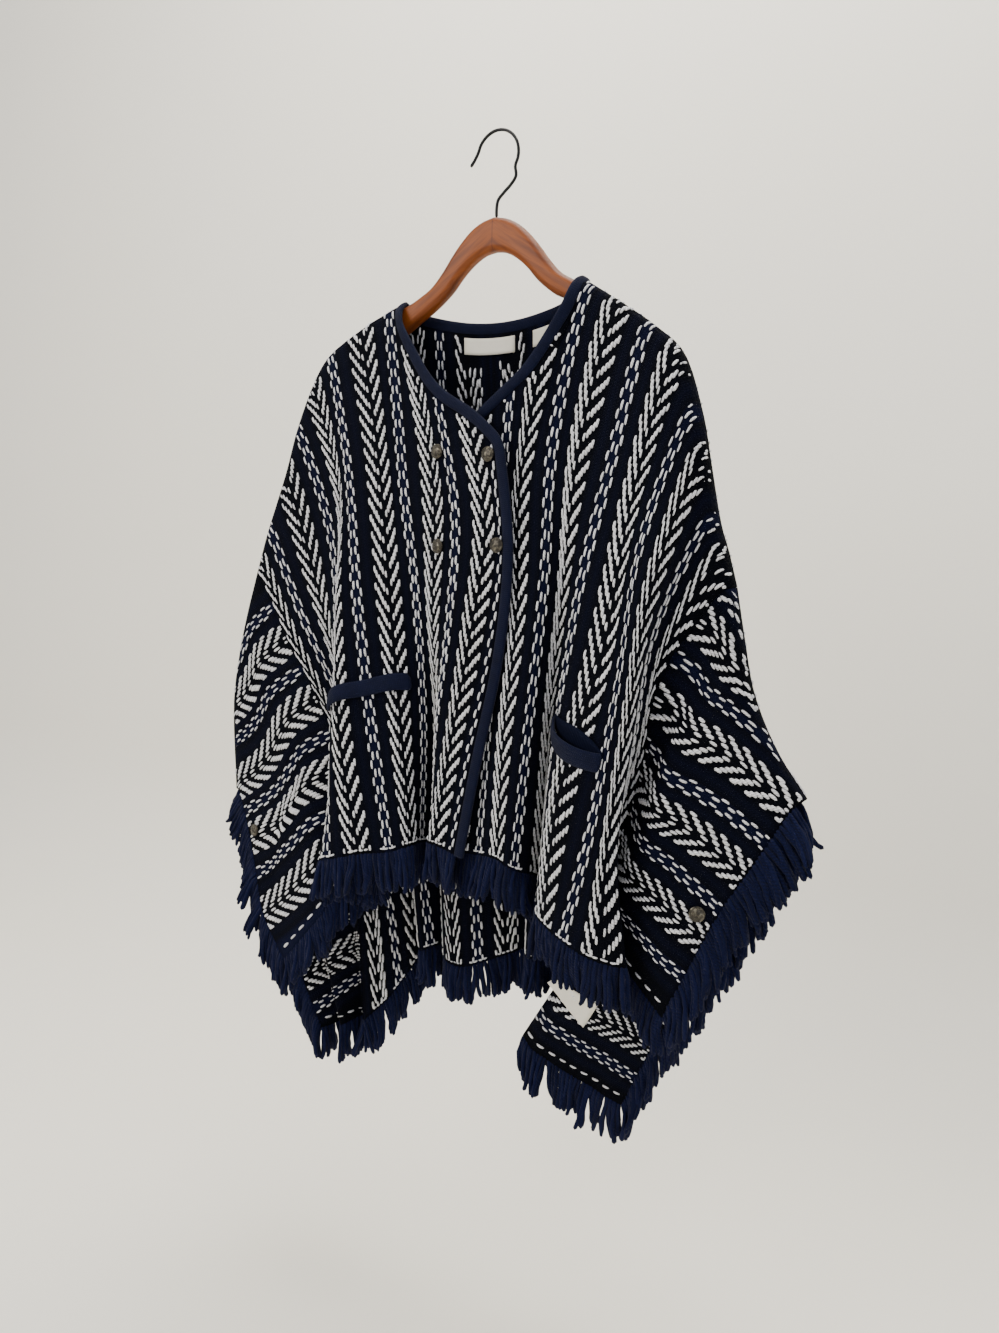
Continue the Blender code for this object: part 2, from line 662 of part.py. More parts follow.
def panels():
    """The mid-surface of each panel, by name."""
    neck_turn = [117, NECK_POINT]
    body_stations = {
        "front_left": spread([row.across for row in FRONT_LEFT[:5]] + [108] + neck_turn
                             + [row.across for row in FRONT_LEFT[6:]], WIDEST_COLUMN),
        "front_right": spread([row.across for row in FRONT_RIGHT[:4]] + [108] + neck_turn
                              + [row.across for row in FRONT_RIGHT[5:]], WIDEST_COLUMN),
    }
    sleeve_stations = spread([0, SLEEVE], WIDEST_COLUMN)
    sheets = {}
    for hand, body_rows, sleeve_rows, seam, top, neck in (
            ("left", FRONT_LEFT, SLEEVE_FRONT_LEFT, SHOULDER_LEFT, SLEEVE_TOP_LEFT, NECK_LEFT),
            ("right", FRONT_RIGHT, SLEEVE_FRONT_RIGHT, SHOULDER_RIGHT, SLEEVE_TOP_RIGHT, NECK_RIGHT)):
        body = Side(body_rows, seam, neck, -1)
        first = body_rows[-1]._replace(across=0)
        sleeve = Side([first] + sleeve_rows, top, None, -1)
        stations = body_stations["front_" + hand]
        made = joined_sides(((body, stations), (sleeve, sleeve_stations)), -1)
        settle_top(made[0], body, stations)
        settle_top(made[1], sleeve, sleeve_stations)
        sheets["front_" + hand], sheets["sleeve_front_" + hand] = made

    back_rows_left = [row._replace(across=-row.across) for row in BACK if row.across <= 70][::-1]
    back_rows_right = [row for row in BACK if row.across >= -64]
    neck_left = [point._replace(across=-point.across) for point in NECK_BACK if point.across <= 70][::-1]
    neck_right = [point for point in NECK_BACK if point.across >= -64]
    left = Side(back_rows_left, SHOULDER_LEFT, neck_left, 1)
    right = Side(back_rows_right, SHOULDER_RIGHT, neck_right, 1)
    sleeve_left = Side([BACK[0]._replace(across=0)] + SLEEVE_BACK_LEFT, SLEEVE_TOP_LEFT, None, 1)
    sleeve_right = Side([BACK[-1]._replace(across=0)] + SLEEVE_BACK_RIGHT, SLEEVE_TOP_RIGHT, None, 1)
    half_back = spread([0, 20, 70, 98] + neck_turn + [150, 170, 200, 220, 245, 270, 305, 345, 367, BODY_HALF], 25)
    cuff_in = [SLEEVE - s for s in sleeve_stations]
    grids = [
        sleeve_left.columns(cuff_in),
        left.columns(half_back[::-1])[1:],
        right.columns(half_back)[1:],
        sleeve_right.columns(sleeve_stations)[1:],
    ]
    whole = np.concatenate(grids)
    first_rows = [0] * len(cuff_in)
    first_rows += [left.first_row(across) for across in half_back[-2::-1]]
    first_rows += [right.first_row(across) for across in half_back[1:]]
    first_rows += [0] * (len(sleeve_stations) - 1)
    normals = grid_normals(whole, first_rows, 1)
    across = unit(np.gradient(whole, axis=0))
    first_seam = len(cuff_in) - 1
    back_stations = [-s for s in half_back[::-1]] + half_back[1:]
    second_seam = first_seam + len(back_stations) - 1
    gap = SEAM_GAP / 2
    pieces = (
        ("sleeve_back_left", 0, first_seam, [-s for s in cuff_in], 0, -gap),
        ("back", first_seam, second_seam, back_stations, gap, -gap),
        ("sleeve_back_right", second_seam, len(whole) - 1, sleeve_stations, gap, 0),
    )
    for name, start, end, stations, at_start, at_end in pieces:
        grid = whole[start:end + 1].copy()
        grid[0] += across[start] * at_start
        grid[-1] += across[end] * at_end
        sheets[name] = Sheet(grid, normals[start:end + 1].copy(), stations, first_rows[start:end + 1])
    settle_top(sheets["sleeve_back_left"], sleeve_left, cuff_in)
    settle_top(sheets["sleeve_back_right"], sleeve_right, sleeve_stations)
    settle_top(sheets["back"], left, [-station for station in back_stations])
    settle_top(sheets["back"], right, back_stations)
    return sheets


def main():
    for old in list(bpy.data.objects):
        bpy.data.objects.remove(old)

    knit = material("knit", (0.02, 0.03, 0.07), 0.95)
    navy = material("navy_rib", (0.015, 0.025, 0.09), 0.95)
    yarn = material("navy_yarn", (0.01, 0.02, 0.08), 0.95)
    wood = material("cherry_wood", (0.4, 0.09, 0.02), 0.35)
    wire = material("black_wire", (0.02, 0.02, 0.02), 0.4, 0.8)
    horn = material("dark_button", (0.04, 0.03, 0.025), 0.4)
    tape = material("label_tape", (0.8, 0.78, 0.72), 0.8)

    sheets = panels()
    for name, sheet in sheets.items():
        cloth_wall(name, sheet, knit)

    # Bindings round the fronts and the back of the neck.
    turn = len(FIRST_ROWS) - 1
    for hand in ("left", "right"):
        sheet = sheets["front_" + hand]
        last = sheet.first_rows.index(0)
        route = [(0, row) for row in range(sheet.grid.shape[1] - 1, turn, -1)]
        route += [(column, turn) for column in range(last)]
        route += [(last, row) for row in range(turn, -1, -1)]
        beside = [(1, row) for row in range(sheet.grid.shape[1] - 1, turn, -1)]
        beside += [(column, turn + 1) for column in range(last)]
        beside += [(last + 1, row) for row in range(turn, -1, -1)]
        binding("binding_front_" + hand, sheet, route, beside, navy)
    sheet = sheets["back"]
    neck = [column for column, first in enumerate(sheet.first_rows) if first > 0]
    before = neck[0] - 1
    after = neck[-1] + 1
    route = [(before, row) for row in range(turn + 1)] + [(column, turn) for column in neck]
    route += [(after, row) for row in range(turn, -1, -1)]
    beside = [(before - 1, row) for row in range(turn + 1)] + [(column, turn + 1) for column in neck]
    beside += [(after + 1, row) for row in range(turn, -1, -1)]
    binding("binding_back_neck", sheet, route, beside, navy)

    # Fringes: below every hem, and along every cuff from the sleeve's top seam to its hem.
    down = (0.0, 0.0, -1.0)
    for name, sheet in sheets.items():
        fringe("fringe_hem_" + name, sheet.grid[:, -1], sheet.normals[:, -1], sheet.grid[:, -2], down, down, yarn)
    for name, lean in (("sleeve_front_left", (-0.4, -0.05, -0.9)), ("sleeve_back_left", (-0.45, 0.05, -0.9)),
                       ("sleeve_front_right", (0.25, -0.05, -0.95)), ("sleeve_back_right", (0.15, 0.05, -1.0))):
        sheet = sheets[name]
        cuff = 0 if name == "sleeve_back_left" else -1
        beside = 1 if cuff == 0 else -2
        below = slice(len(FIRST_ROWS) - 1, None)
        fringe("fringe_cuff_" + name, sheet.grid[cuff, below], sheet.normals[cuff, below],
               sheet.grid[beside, below], lean, down, yarn)

    for spot in BUTTONS:
        button(spot.name, sheets[spot.panel], spot.across, spot.down, horn)
    for welt in WELTS:
        band(welt, sheets[welt.panel], 1, WELT_THICKNESS, navy)
    for piece in FLAT_LABELS:
        band(piece, sheets[piece.panel], -1, LABEL_THICKNESS, tape)
    label("label_care", CARE_LABEL, LABEL_THICKNESS, tape)

    hanger_wood(wood)
    hanger_hook(wire)


main()
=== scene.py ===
"""Looks of the knitted poncho sweater, hung open and double-breasted on its wooden hanger.

Lengths here are millimetres until a mesh is made. +X is to the right of someone who faces the
front, the front faces -Y and +Z is up. The panels repeat the part's own hang lines, with more
columns and rows, small creases and every stitch of the stripes.
"""

from collections import namedtuple

import bmesh
import bpy
import numpy as np
from mathutils import Matrix, Vector


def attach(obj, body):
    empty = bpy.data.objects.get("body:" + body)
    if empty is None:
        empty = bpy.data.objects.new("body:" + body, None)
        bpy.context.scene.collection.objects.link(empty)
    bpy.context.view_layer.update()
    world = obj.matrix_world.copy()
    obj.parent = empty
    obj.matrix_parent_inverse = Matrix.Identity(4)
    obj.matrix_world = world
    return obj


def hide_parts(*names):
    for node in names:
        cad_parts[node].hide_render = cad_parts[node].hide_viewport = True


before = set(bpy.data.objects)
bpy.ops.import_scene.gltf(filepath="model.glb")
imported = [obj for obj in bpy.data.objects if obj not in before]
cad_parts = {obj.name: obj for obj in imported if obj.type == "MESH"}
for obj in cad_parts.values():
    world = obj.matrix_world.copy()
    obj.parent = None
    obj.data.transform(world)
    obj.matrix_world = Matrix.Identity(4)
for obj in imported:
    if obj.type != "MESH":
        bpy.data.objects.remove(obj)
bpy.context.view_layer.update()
random = np.random.default_rng(11)      # the order of its draws fixes every stitch and strand

MM = 0.001
WALL = 3.0                 # thickness of the knitted cloth
SEAM_GAP = 0.4             # between two pieces that are sewn together
SURFACE_GAP = 0.5          # under a piece that lies on a panel

# The cut, flat. Across is measured from the centre of the front, along from the neck point.
FRONT_EDGE = 3.0           # where the knit ends and the front binding starts
NECK_POINT = 124.0         # where the neck opening meets the shoulder
BODY_HALF = 382.0          # centre to sleeve seam
SLEEVE = 160.0             # sleeve seam to cuff

BINDING_WIDTH = 11.0
BINDING_THICKNESS = 4.6
FRINGE_LENGTH = 50.0

# How the cloth turns over the shoulder seam: distance off the seam, and drop below it.
SHOULDER_TURN = ((3.2, 0.2), (7.9, 2.1), (9.9, 7.0))
FIRST_ROWS = (0.0, 3.2, 8.4, 14.0)
ROWS_BELOW = 66            # rows from the turn of the shoulder to the hem
PLAIN_ROWS_BELOW = 11      # the part's own, which shares of the way down are counted in
WIDEST_COLUMN = 9.0
LEVEL = 2.0                # between two heights at which a panel is measured

HangLine = namedtuple("HangLine", "across x1 y1 x2 y2 x3 y3 hem_x hem_y hem_z")
SeamPoint = namedtuple("SeamPoint", "across x z")
EdgePoint = namedtuple("EdgePoint", "across x y z")

# The shoulder seam, from the neck point over the hanger's end to the sleeve seam, and the seam
# on top of the sleeve from there to the cuff. Both lie at y = 0, between front and back.
SHOULDER_RIGHT = [
    SeamPoint(124, 106, -156),
    SeamPoint(166, 144, -180),
    SeamPoint(200, 176, -202),
    SeamPoint(234, 206, -230),
    SeamPoint(268, 226, -284),
    SeamPoint(302, 236, -328),
    SeamPoint(336, 248, -382),
    SeamPoint(370, 260, -418),
    SeamPoint(382, 267, -442),
]
SHOULDER_LEFT = [
    SeamPoint(124, -120, -159.5),
    SeamPoint(166, -166, -178),
    SeamPoint(200, -212, -203),
    SeamPoint(234, -238, -236),
    SeamPoint(268, -262, -285),
    SeamPoint(302, -280, -335),
    SeamPoint(336, -308, -400),
    SeamPoint(370, -322, -438),
    SeamPoint(382, -327, -452),
]
SLEEVE_TOP_RIGHT = [
    SeamPoint(0, 267, -442),
    SeamPoint(40, 277, -490),
    SeamPoint(80, 289, -540),
    SeamPoint(120, 313, -590),
    SeamPoint(160, 343, -631),
]
SLEEVE_TOP_LEFT = [
    SeamPoint(0, -327, -452),
    SeamPoint(40, -345, -505),
    SeamPoint(80, -360, -560),
    SeamPoint(120, -370, -625),
    SeamPoint(160, -367, -728),
]

# The neck edge of each panel, from the front edge to the neck point.
NECK_RIGHT = [
    EdgePoint(3, -16, -35, -308),
    EdgePoint(30, 9, -36, -287),
    EdgePoint(64, 42, -34, -260),
    EdgePoint(98, 72, -28, -229),
    EdgePoint(108, 84, -22, -207),
    EdgePoint(117, 98, -14, -179),
]
NECK_LEFT = [
    EdgePoint(3, 36, -51, -312),
    EdgePoint(30, 2, -45, -286),
    EdgePoint(64, -42, -38, -262),
    EdgePoint(98, -80, -28, -224),
    EdgePoint(108, -98, -22, -200),
    EdgePoint(117, -112, -14, -181),
]
NECK_BACK = [
    EdgePoint(-117, -111, 12, -173),
    EdgePoint(-98, -94, 13, -178),
    EdgePoint(-64, -62, 14, -186),
    EdgePoint(-30, -29, 15, -191),
    EdgePoint(20, 19, 15, -191),
    EdgePoint(70, 66, 14, -182),
    EdgePoint(117, 97, 12, -171),
]

FRONT_RIGHT = [
    HangLine(3, -16, -36, -18, -37, -16, -38, -18, -40, -737),
    HangLine(30, 8, -40, 6, -42, 6, -43, 3, -46, -733),
    HangLine(64, 42, -44, 42, -48, 35, -50, 30, -55, -728),
    HangLine(98, 60, -42, 69, -56, 62, -66, 59, -69, -724),
    HangLine(132, 91, -32, 96, -54, 89, -66, 77, -66, -732),
    HangLine(172, 124, -34, 112, -40, 94, -30, 84, -22, -752),
    HangLine(200, 154, -40, 131, -56, 106, -46, 90, -34, -764),
    HangLine(215, 166, -44, 146, -66, 116, -62, 101, -58, -771),
    HangLine(234, 181, -46, 172, -74, 136, -80, 120, -74, -776),
    HangLine(268, 197, -62, 190, -86, 174, -88, 143, -84, -784),
    HangLine(302, 213, -72, 203, -88, 188, -88, 181, -82, -797),
    HangLine(318, 214, -68, 203, -80, 194, -78, 203, -68, -802),
    HangLine(336, 209, -56, 196, -62, 182, -58, 184, -46, -803),
    HangLine(360, 212, -46, 190, -40, 162, -34, 154, -28, -801),
    HangLine(382, 212, -42, 192, -24, 164, -14, 140, -12, -800),
]
FRONT_LEFT = [
    HangLine(3, 54, -60, 45, -60, 24, -62, 7, -66, -729),
    HangLine(30, 31, -57, 16, -59, -3, -63, -21, -65, -724),
    HangLine(45, 14, -55, 4, -58, -12, -62, -31, -61, -724),
    HangLine(64, -9, -52, -11, -56, -27, -54, -43, -34, -732),
    HangLine(98, -40, -44, -38, -46, -46, -24, -55, -8, -740),
    HangLine(132, -96, -28, -68, -37, -57, -36, -63, -30, -738),
    HangLine(166, -124, -29, -98, -44, -75, -53, -57, -57, -733),
    HangLine(200, -164, -32, -134, -53, -105, -63, -74, -71, -740),
    HangLine(234, -174, -33, -160, -56, -139, -76, -107, -81, -746),
    HangLine(262, -189, -26, -170, -46, -152, -76, -142, -86, -757),
    HangLine(280, -205, -22, -178, -36, -156, -60, -163, -82, -765),
    HangLine(302, -224, -20, -186, -22, -154, -40, -148, -62, -769),
    HangLine(336, -247, -18, -198, -12, -158, -16, -130, -38, -777),
    HangLine(360, -258, -16, -206, -12, -164, -10, -128, -20, -784),
    HangLine(382, -264, -16, -208, -15, -178, -12, -142, -10, -790),
]
BACK = [
    HangLine(-382, -255, 12, -210, 14, -186, 15, -177, 16, -999),
    HangLine(-336, -262, 18, -205, 30, -170, 36, -152, 34, -970),
    HangLine(-302, -246, 22, -196, 38, -156, 48, -133, 48, -938),
    HangLine(-268, -232, 26, -184, 42, -144, 58, -119, 62, -905),
    HangLine(-234, -208, 25, -164, 34, -128, 38, -106, 40, -891),
    HangLine(-200, -182, 20, -146, 22, -114, 18, -92, 15, -887),
    HangLine(-150, -134, 24, -112, 36, -90, 48, -76, 54, -886),
    HangLine(-98, -90, 20, -78, 21, -66, 17, -56, 15, -890),
    HangLine(-64, -60, 22, -50, 24, -40, 20, -34, 19, -894),
    HangLine(-30, -27, 25, -20, 36, -12, 40, -8, 38, -885),
    HangLine(20, 20, 26, 22, 42, 22, 56, 22, 62, -873),
    HangLine(70, 66, 23, 57, 26, 48, 30, 43, 34, -870),
    HangLine(120, 108, 24, 92, 40, 78, 56, 67, 66, -869),
    HangLine(170, 148, 23, 129, 28, 109, 38, 94, 46, -873),
    HangLine(220, 184, 26, 163, 44, 139, 60, 122, 70, -880),
    HangLine(270, 212, 27, 193, 37, 172, 50, 152, 56, -893),
    HangLine(305, 228, 22, 207, 29, 184, 36, 132, 38, -911),
    HangLine(345, 240, 16, 214, 25, 160, 31, 94, 31, -930),
    HangLine(367, 241, 12, 207, 21, 142, 28, 66, 27, -941),
    HangLine(382, 236, 8, 192, 12, 122, 16, 50, 14, -951),
]
SLEEVE_FRONT_RIGHT = [
    HangLine(20, 236, -44, 203, -34, 173, -22, 149, -4, -803),
    HangLine(40, 243, -50, 213, -50, 184, -38, 158, -8, -806),
    HangLine(80, 266, -47, 235, -56, 208, -50, 180, -26, -815),
    HangLine(120, 289, -42, 258, -51, 234, -56, 209, -42, -831),
    HangLine(160, 311, -38, 282, -47, 259, -50, 235, -50, -850),
]
SLEEVE_FRONT_LEFT = [
    HangLine(20, -286, -14, -222, -18, -197, -22, -154, -22, -800),
    HangLine(40, -302, -14, -240, -23, -214, -34, -168, -38, -812),
    HangLine(80, -319, -13, -256, -28, -246, -38, -184, -54, -842),
    HangLine(120, -330, -15, -276, -31, -270, -39, -216, -54, -880),
    HangLine(160, -330, -22, -308, -33, -290, -40, -246, -50, -913),
]
SLEEVE_BACK_RIGHT = [
    HangLine(20, 244, 6, 202, 5, 134, 3, 68, 3, -957),
    HangLine(40, 248, 7, 208, 7, 148, 5, 86, 2, -962),
    HangLine(80, 258, 11, 218, 11, 168, 8, 116, 2, -971),
    HangLine(120, 278, 11, 236, 13, 190, 10, 146, 6, -980),
    HangLine(160, 300, 8, 258, 8, 212, 8, 174, 8, -990),
]
SLEEVE_BACK_LEFT = [
    HangLine(40, -300, 18, -246, 24, -212, 30, -192, 34, -1004),
    HangLine(80, -326, 20, -280, 19, -240, 12, -206, 8, -1010),
    HangLine(120, -346, 19, -306, 22, -262, 28, -222, 34, -1018),
    HangLine(160, -348, 12, -318, 13, -282, 12, -242, 11, -1026),
]

# Buttons, by their place on a panel: across the cut and share of the way down the hang line.
BUTTON_RADIUS = 7.5
BUTTON_HEIGHT = 4.0
ButtonSpot = namedtuple("ButtonSpot", "name panel across down")
BUTTONS = [
    ButtonSpot("button_top_outer", "front_left", 79, 0.326),
    ButtonSpot("button_top_edge", "front_left", 11, 0.246),
    ButtonSpot("button_low_outer", "front_left", 91, 0.494),
    ButtonSpot("button_low_edge", "front_left", 11.5, 0.412),
    ButtonSpot("button_cuff_left", "sleeve_front_left", 147, 0.5),
    ButtonSpot("button_cuff_right", "sleeve_front_right", 140, 0.66),
]

# Bands that lie on a panel, from one hang line to another: the share of the way down of their top
# at each end, their height as a share too, and how far the middle of the top gapes open.
Band = namedtuple("Band", "name panel start end down_start down_end height gape")
WELTS = [
    Band("pocket_welt_left", "front_left", 148, 264, 0.742, 0.722, 0.026, 0),
    Band("pocket_welt_right", "front_right", 200, 266, 0.728, 0.706, 0.028, 7),
]
WELT_THICKNESS = 4.0
GAPE_SAG = 0.0024           # how far down a gaping band hangs, a share for each millimetre it gapes
FLAT_LABELS = [
    Band("label_neck", "back", -46, 18, 0.219, 0.219, 0.019, 0),
    Band("label_size", "back", 40, 62, 0.219, 0.219, 0.019, 0),
]
CARE_LABEL = [(85, 0.2, -874), (94, 0.2, -867), (145, 0.2, -883), (129, 0.2, -913)]

# The hanger: its outline from the centre to the end, one half; the cloth covers the outer part.
WOOD_THICKNESS = 16.0
WOOD_ROUNDING = 6.0
WOOD_TOP = [(0, -82), (14, -85), (26, -91), (38, -101), (50, -114), (62, -129), (76, -143), (92, -152)]
WOOD_UNDER = [(92, -176), (70, -163), (52, -149), (38, -134), (24, -123), (12, -117), (0, -115)]
WOOD_ENDS = (208, 192)     # how far the wood goes under the cloth, right and left
WOOD_DEPTH = 26.0
WOOD_DROP = 3.6            # from the middle of the cloth down to the wood under it

WIRE_RADIUS = 1.6
HOOK_RADIUS = 24.0

# Small creases, over the folds of the hang lines: on one face of the garment, from a place across
# at their top to one at their bottom, between two shares of the way down. Across runs on over the
# sleeve seam. A positive depth stands out, a negative one sinks in.
Crease = namedtuple("Crease", "top bottom start end width depth")
CREASES = {
    "front_left": [
        Crease(30, 22, 0.40, 1.00, 13, -2.2),
        Crease(52, 60, 0.30, 0.85, 15, 2.4),
        Crease(96, 84, 0.42, 1.00, 16, -2.6),
        Crease(122, 150, 0.18, 0.62, 15, 2.8),
        Crease(150, 172, 0.25, 0.72, 12, -2.5),
        Crease(186, 170, 0.55, 1.00, 17, 2.6),
        Crease(216, 226, 0.20, 0.70, 15, 2.4),
        Crease(252, 246, 0.30, 0.80, 12, -2.4),
        Crease(290, 318, 0.22, 0.66, 16, 3.0),
        Crease(330, 342, 0.35, 0.90, 14, -2.0),
        Crease(404, 452, 0.18, 0.64, 14, -2.4),
        Crease(438, 500, 0.30, 0.82, 17, 2.8),
        Crease(486, 520, 0.42, 0.95, 13, -2.2),
    ],
    "front_right": [
        Crease(26, 34, 0.35, 0.95, 14, -2.0),
        Crease(60, 50, 0.28, 0.80, 16, 2.6),
        Crease(88, 96, 0.45, 1.00, 14, -2.4),
        Crease(118, 128, 0.20, 0.75, 15, 2.4),
        Crease(160, 150, 0.32, 0.86, 13, -2.2),
        Crease(188, 204, 0.18, 0.60, 15, 2.8),
        Crease(240, 226, 0.40, 1.00, 15, 2.4),
        Crease(262, 282, 0.22, 0.72, 13, -2.6),
        Crease(312, 296, 0.48, 1.00, 14, -2.0),
        Crease(344, 356, 0.20, 0.66, 15, 2.4),
        Crease(410, 456, 0.20, 0.70, 14, 2.6),
        Crease(452, 492, 0.26, 0.86, 13, -2.6),
        Crease(498, 516, 0.40, 0.96, 14, 2.4),
    ],
    "back": [
        Crease(-500, -516, 0.30, 0.90, 15, 2.6),
        Crease(-456, -484, 0.22, 0.74, 14, -2.4),
        Crease(-408, -440, 0.40, 1.00, 15, 2.4),
        Crease(-352, -330, 0.26, 0.84, 16, -2.8),
        Crease(-300, -316, 0.35, 1.00, 14, 2.6),
        Crease(-258, -240, 0.22, 0.70, 13, -2.4),
        Crease(-206, -222, 0.30, 0.92, 16, 3.0),
        Crease(-160, -140, 0.24, 0.66, 15, 2.2),
        Crease(-112, -126, 0.38, 1.00, 14, -2.6),
        Crease(-58, -48, 0.30, 0.80, 17, 2.8),
        Crease(-16, -4, 0.42, 1.00, 13, -2.2),
        Crease(36, 30, 0.26, 0.90, 15, 2.4),
        Crease(84, 100, 0.34, 1.00, 14, -2.8),
        Crease(132, 118, 0.22, 0.72, 16, 2.6),
        Crease(186, 200, 0.36, 0.94, 14, -2.4),
        Crease(234, 220, 0.24, 0.78, 17, 3.0),
        Crease(288, 310, 0.38, 1.00, 13, -2.2),
        Crease(334, 352, 0.22, 0.70, 15, 2.6),
        Crease(400, 430, 0.34, 0.92, 14, -2.6),
        Crease(448, 470, 0.22, 0.76, 16, 2.6),
        Crease(500, 512, 0.40, 1.00, 14, -2.2),
    ],
}

# The stripes of the cloth: a chain and a herringbone by turns, one repeat of both is this wide.
REPEAT = 68.0
FIRST_CHAIN = 64.0         # on the body, from the centre
BODY_STEP = (20.0, 22.7)   # from one V of the herringbone to the next, middle and sides
LEFT_STEP = 18.6           # the same on the front with buttonholes on top, in the middle
SHELL = 2.6                # thickness of the ground
# The back hangs a little askew: its middle leans from one side at the neck to the other at the hem.
BACK_LEAN = (-17.0, 18.0)
CHAIN_AT, VEES_AT = "chain", "vees"
FIRST_VEES = 30.0          # on the body, from the centre
STRIPES = 6                # of each kind, on half the body
BELOW_HEM = 30.0           # how far below the hem a stripe runs, before it is cut off there
WIDER_FROM, WIDER_OVER = 200.0, 180.0   # where the step starts to grow, and over what width
BACK_EDGE_CHAIN = 5.5      # how far out the back's innermost chain is moved
SHORTEST_STITCH = 2.5
TOP_ROOM = 2.0             # left free under a panel's top
# Short marks above the hem: off a stripe's middle and slope, then their height, half length and thickness.
HEM_MARKS = ((-8.0, 0.4), (-2.7, -0.3), (2.9, 0.3), (8.3, -0.4))
MARK_HEIGHT, MARK_HALF, MARK_THICK = 4.2, 2.2, 2.3

# On a sleeve the stripes run from the seam to the cuff, each at its height above the hem.
SleeveStripe = namedtuple("SleeveStripe", "kind at_seam at_cuff")
SLEEVE_STRIPES = {
    "left": [
        SleeveStripe(CHAIN_AT, 338, 352),
        SleeveStripe(VEES_AT, 293, 318),
        SleeveStripe(CHAIN_AT, 251, 281),
        SleeveStripe(VEES_AT, 211, 228),
        SleeveStripe(CHAIN_AT, 166, 191),
        SleeveStripe(VEES_AT, 122, 156),
        SleeveStripe(CHAIN_AT, 76, 113),
        SleeveStripe(VEES_AT, 36, 62),
    ],
    "right": [
        SleeveStripe(VEES_AT, 394, 330),
        SleeveStripe(VEES_AT, 348, 298),
        SleeveStripe(CHAIN_AT, 309, 272),
        SleeveStripe(VEES_AT, 265, 239),
        SleeveStripe(CHAIN_AT, 219, 201),
        SleeveStripe(VEES_AT, 183, 166),
        SleeveStripe(CHAIN_AT, 148, 126),
        SleeveStripe(VEES_AT, 104, 93),
        SleeveStripe(CHAIN_AT, 55, 49),
    ],
}
# The lowest chain of a sleeve's back panel, at its seam and at its cuff.
BACK_SLEEVE_CHAIN = {"left": (56.0, 26.0), "right": (38.0, 38.0)}
SPREAD = {"left": (1.26, 1.16), "right": (1.24, 1.04)}   # how wide a stripe is drawn, seam and cuff
SLEEVE_STEP = {"left": 15.6, "right": 17.2}
BACK_SLEEVE_PITCH = 40     # from one stripe of a sleeve's back to the next, up from the hem
BACK_SLEEVE_STRIPES = 13
BEYOND = 44                # from the outermost stripe of a sleeve's front to where the next would be
BEFORE_SEAM = 36           # how far short of the seam a stripe starts, before it is cut off there
# Marks above a sleeve's hem: the first, their spacing, half length, two heights and thickness.
Marks = namedtuple("Marks", "first pitch half low high thick")
SLEEVE_MARKS = Marks(9, 17.0, 5.2, 10.0, 11.0, 3.3)

# Stitches of one arm of a V, and of half a chain: how far off the stripe's middle and how far
# along it each starts and ends, at the drawn step, and how thick it is.
DRAWN_STEP = 20.0
Stitch = namedtuple("Stitch", "off_start along_start off_end along_end thick")
LONG_ARM = [
    Stitch(13.4, -1.0, 12.9, 8.6, 2.8),
    Stitch(11.6, 4.8, 11.0, 14.6, 2.9),
    Stitch(9.7, 10.6, 9.1, 20.6, 2.9),
    Stitch(7.8, 16.4, 7.2, 26.6, 2.9),
    Stitch(5.9, 22.2, 5.3, 32.0, 2.8),
    Stitch(2.9, 28.0, 2.4, 36.4, 2.6),
]
SHORT_ARM = [
    Stitch(13.2, -1.4, 12.7, 7.6, 3.1),
    Stitch(10.9, 3.0, 10.3, 12.4, 3.1),
    Stitch(8.5, 7.6, 7.9, 17.0, 3.1),
    Stitch(6.1, 12.2, 5.5, 21.8, 3.0),
    Stitch(3.0, 17.8, 2.5, 26.6, 2.7),
]
PLAIN_ARM = [
    Stitch(12.9, 0.0, 11.4, 10.4, 3.1),
    Stitch(10.4, 7.4, 8.8, 18.4, 3.1),
    Stitch(7.7, 15.4, 6.2, 26.4, 3.1),
    Stitch(4.0, 24.6, 2.7, 35.4, 2.8),
]
WIDE_ARM = [
    Stitch(14.2, -2.0, 13.8, 8.0, 3.7),
    Stitch(11.6, 3.2, 11.1, 13.6, 3.7),
    Stitch(8.9, 8.6, 8.4, 19.2, 3.7),
    Stitch(6.1, 14.0, 5.6, 24.8, 3.6),
    Stitch(2.7, 21.0, 2.1, 31.6, 3.1),
]
CLOSE_ARM = [
    Stitch(17.0, -2.0, 16.4, 9.4, 3.5),
    Stitch(14.4, 2.0, 13.8, 13.6, 3.5),
    Stitch(11.8, 6.2, 11.2, 18.0, 3.5),
    Stitch(9.2, 10.6, 8.6, 22.4, 3.5),
    Stitch(6.5, 15.0, 5.9, 26.8, 3.4),
    Stitch(2.6, 20.4, 2.0, 31.8, 3.1),
]
CHAIN = [
    Stitch(5.2, -0.2, 5.6, 10.2, 2.6),
    Stitch(2.4, 9.8, 2.7, 20.2, 2.6),
]
EDGE_CHAIN = [
    Stitch(9.2, -0.2, 9.6, 10.2, 2.6),
    Stitch(6.6, 9.8, 7.0, 20.2, 2.6),
]
STITCH_FULLNESS = 0.6      # how blunt its ends are: nearer 0 is blunter
STITCH_SIZES = (0.88, 1.12)
STITCH_SHIFT = 0.35        # how far one lies to the side at most
STITCH_FLATNESS = 0.7
STITCH_BOW = 0.7           # how far its middle stands off the ground
SQUEEZE_SPAN = 6.0         # the width of cloth that is measured for how much it is squeezed together
MOST_SQUEEZED = 0.5        # the thinnest share of itself that a squeezed stitch is drawn at

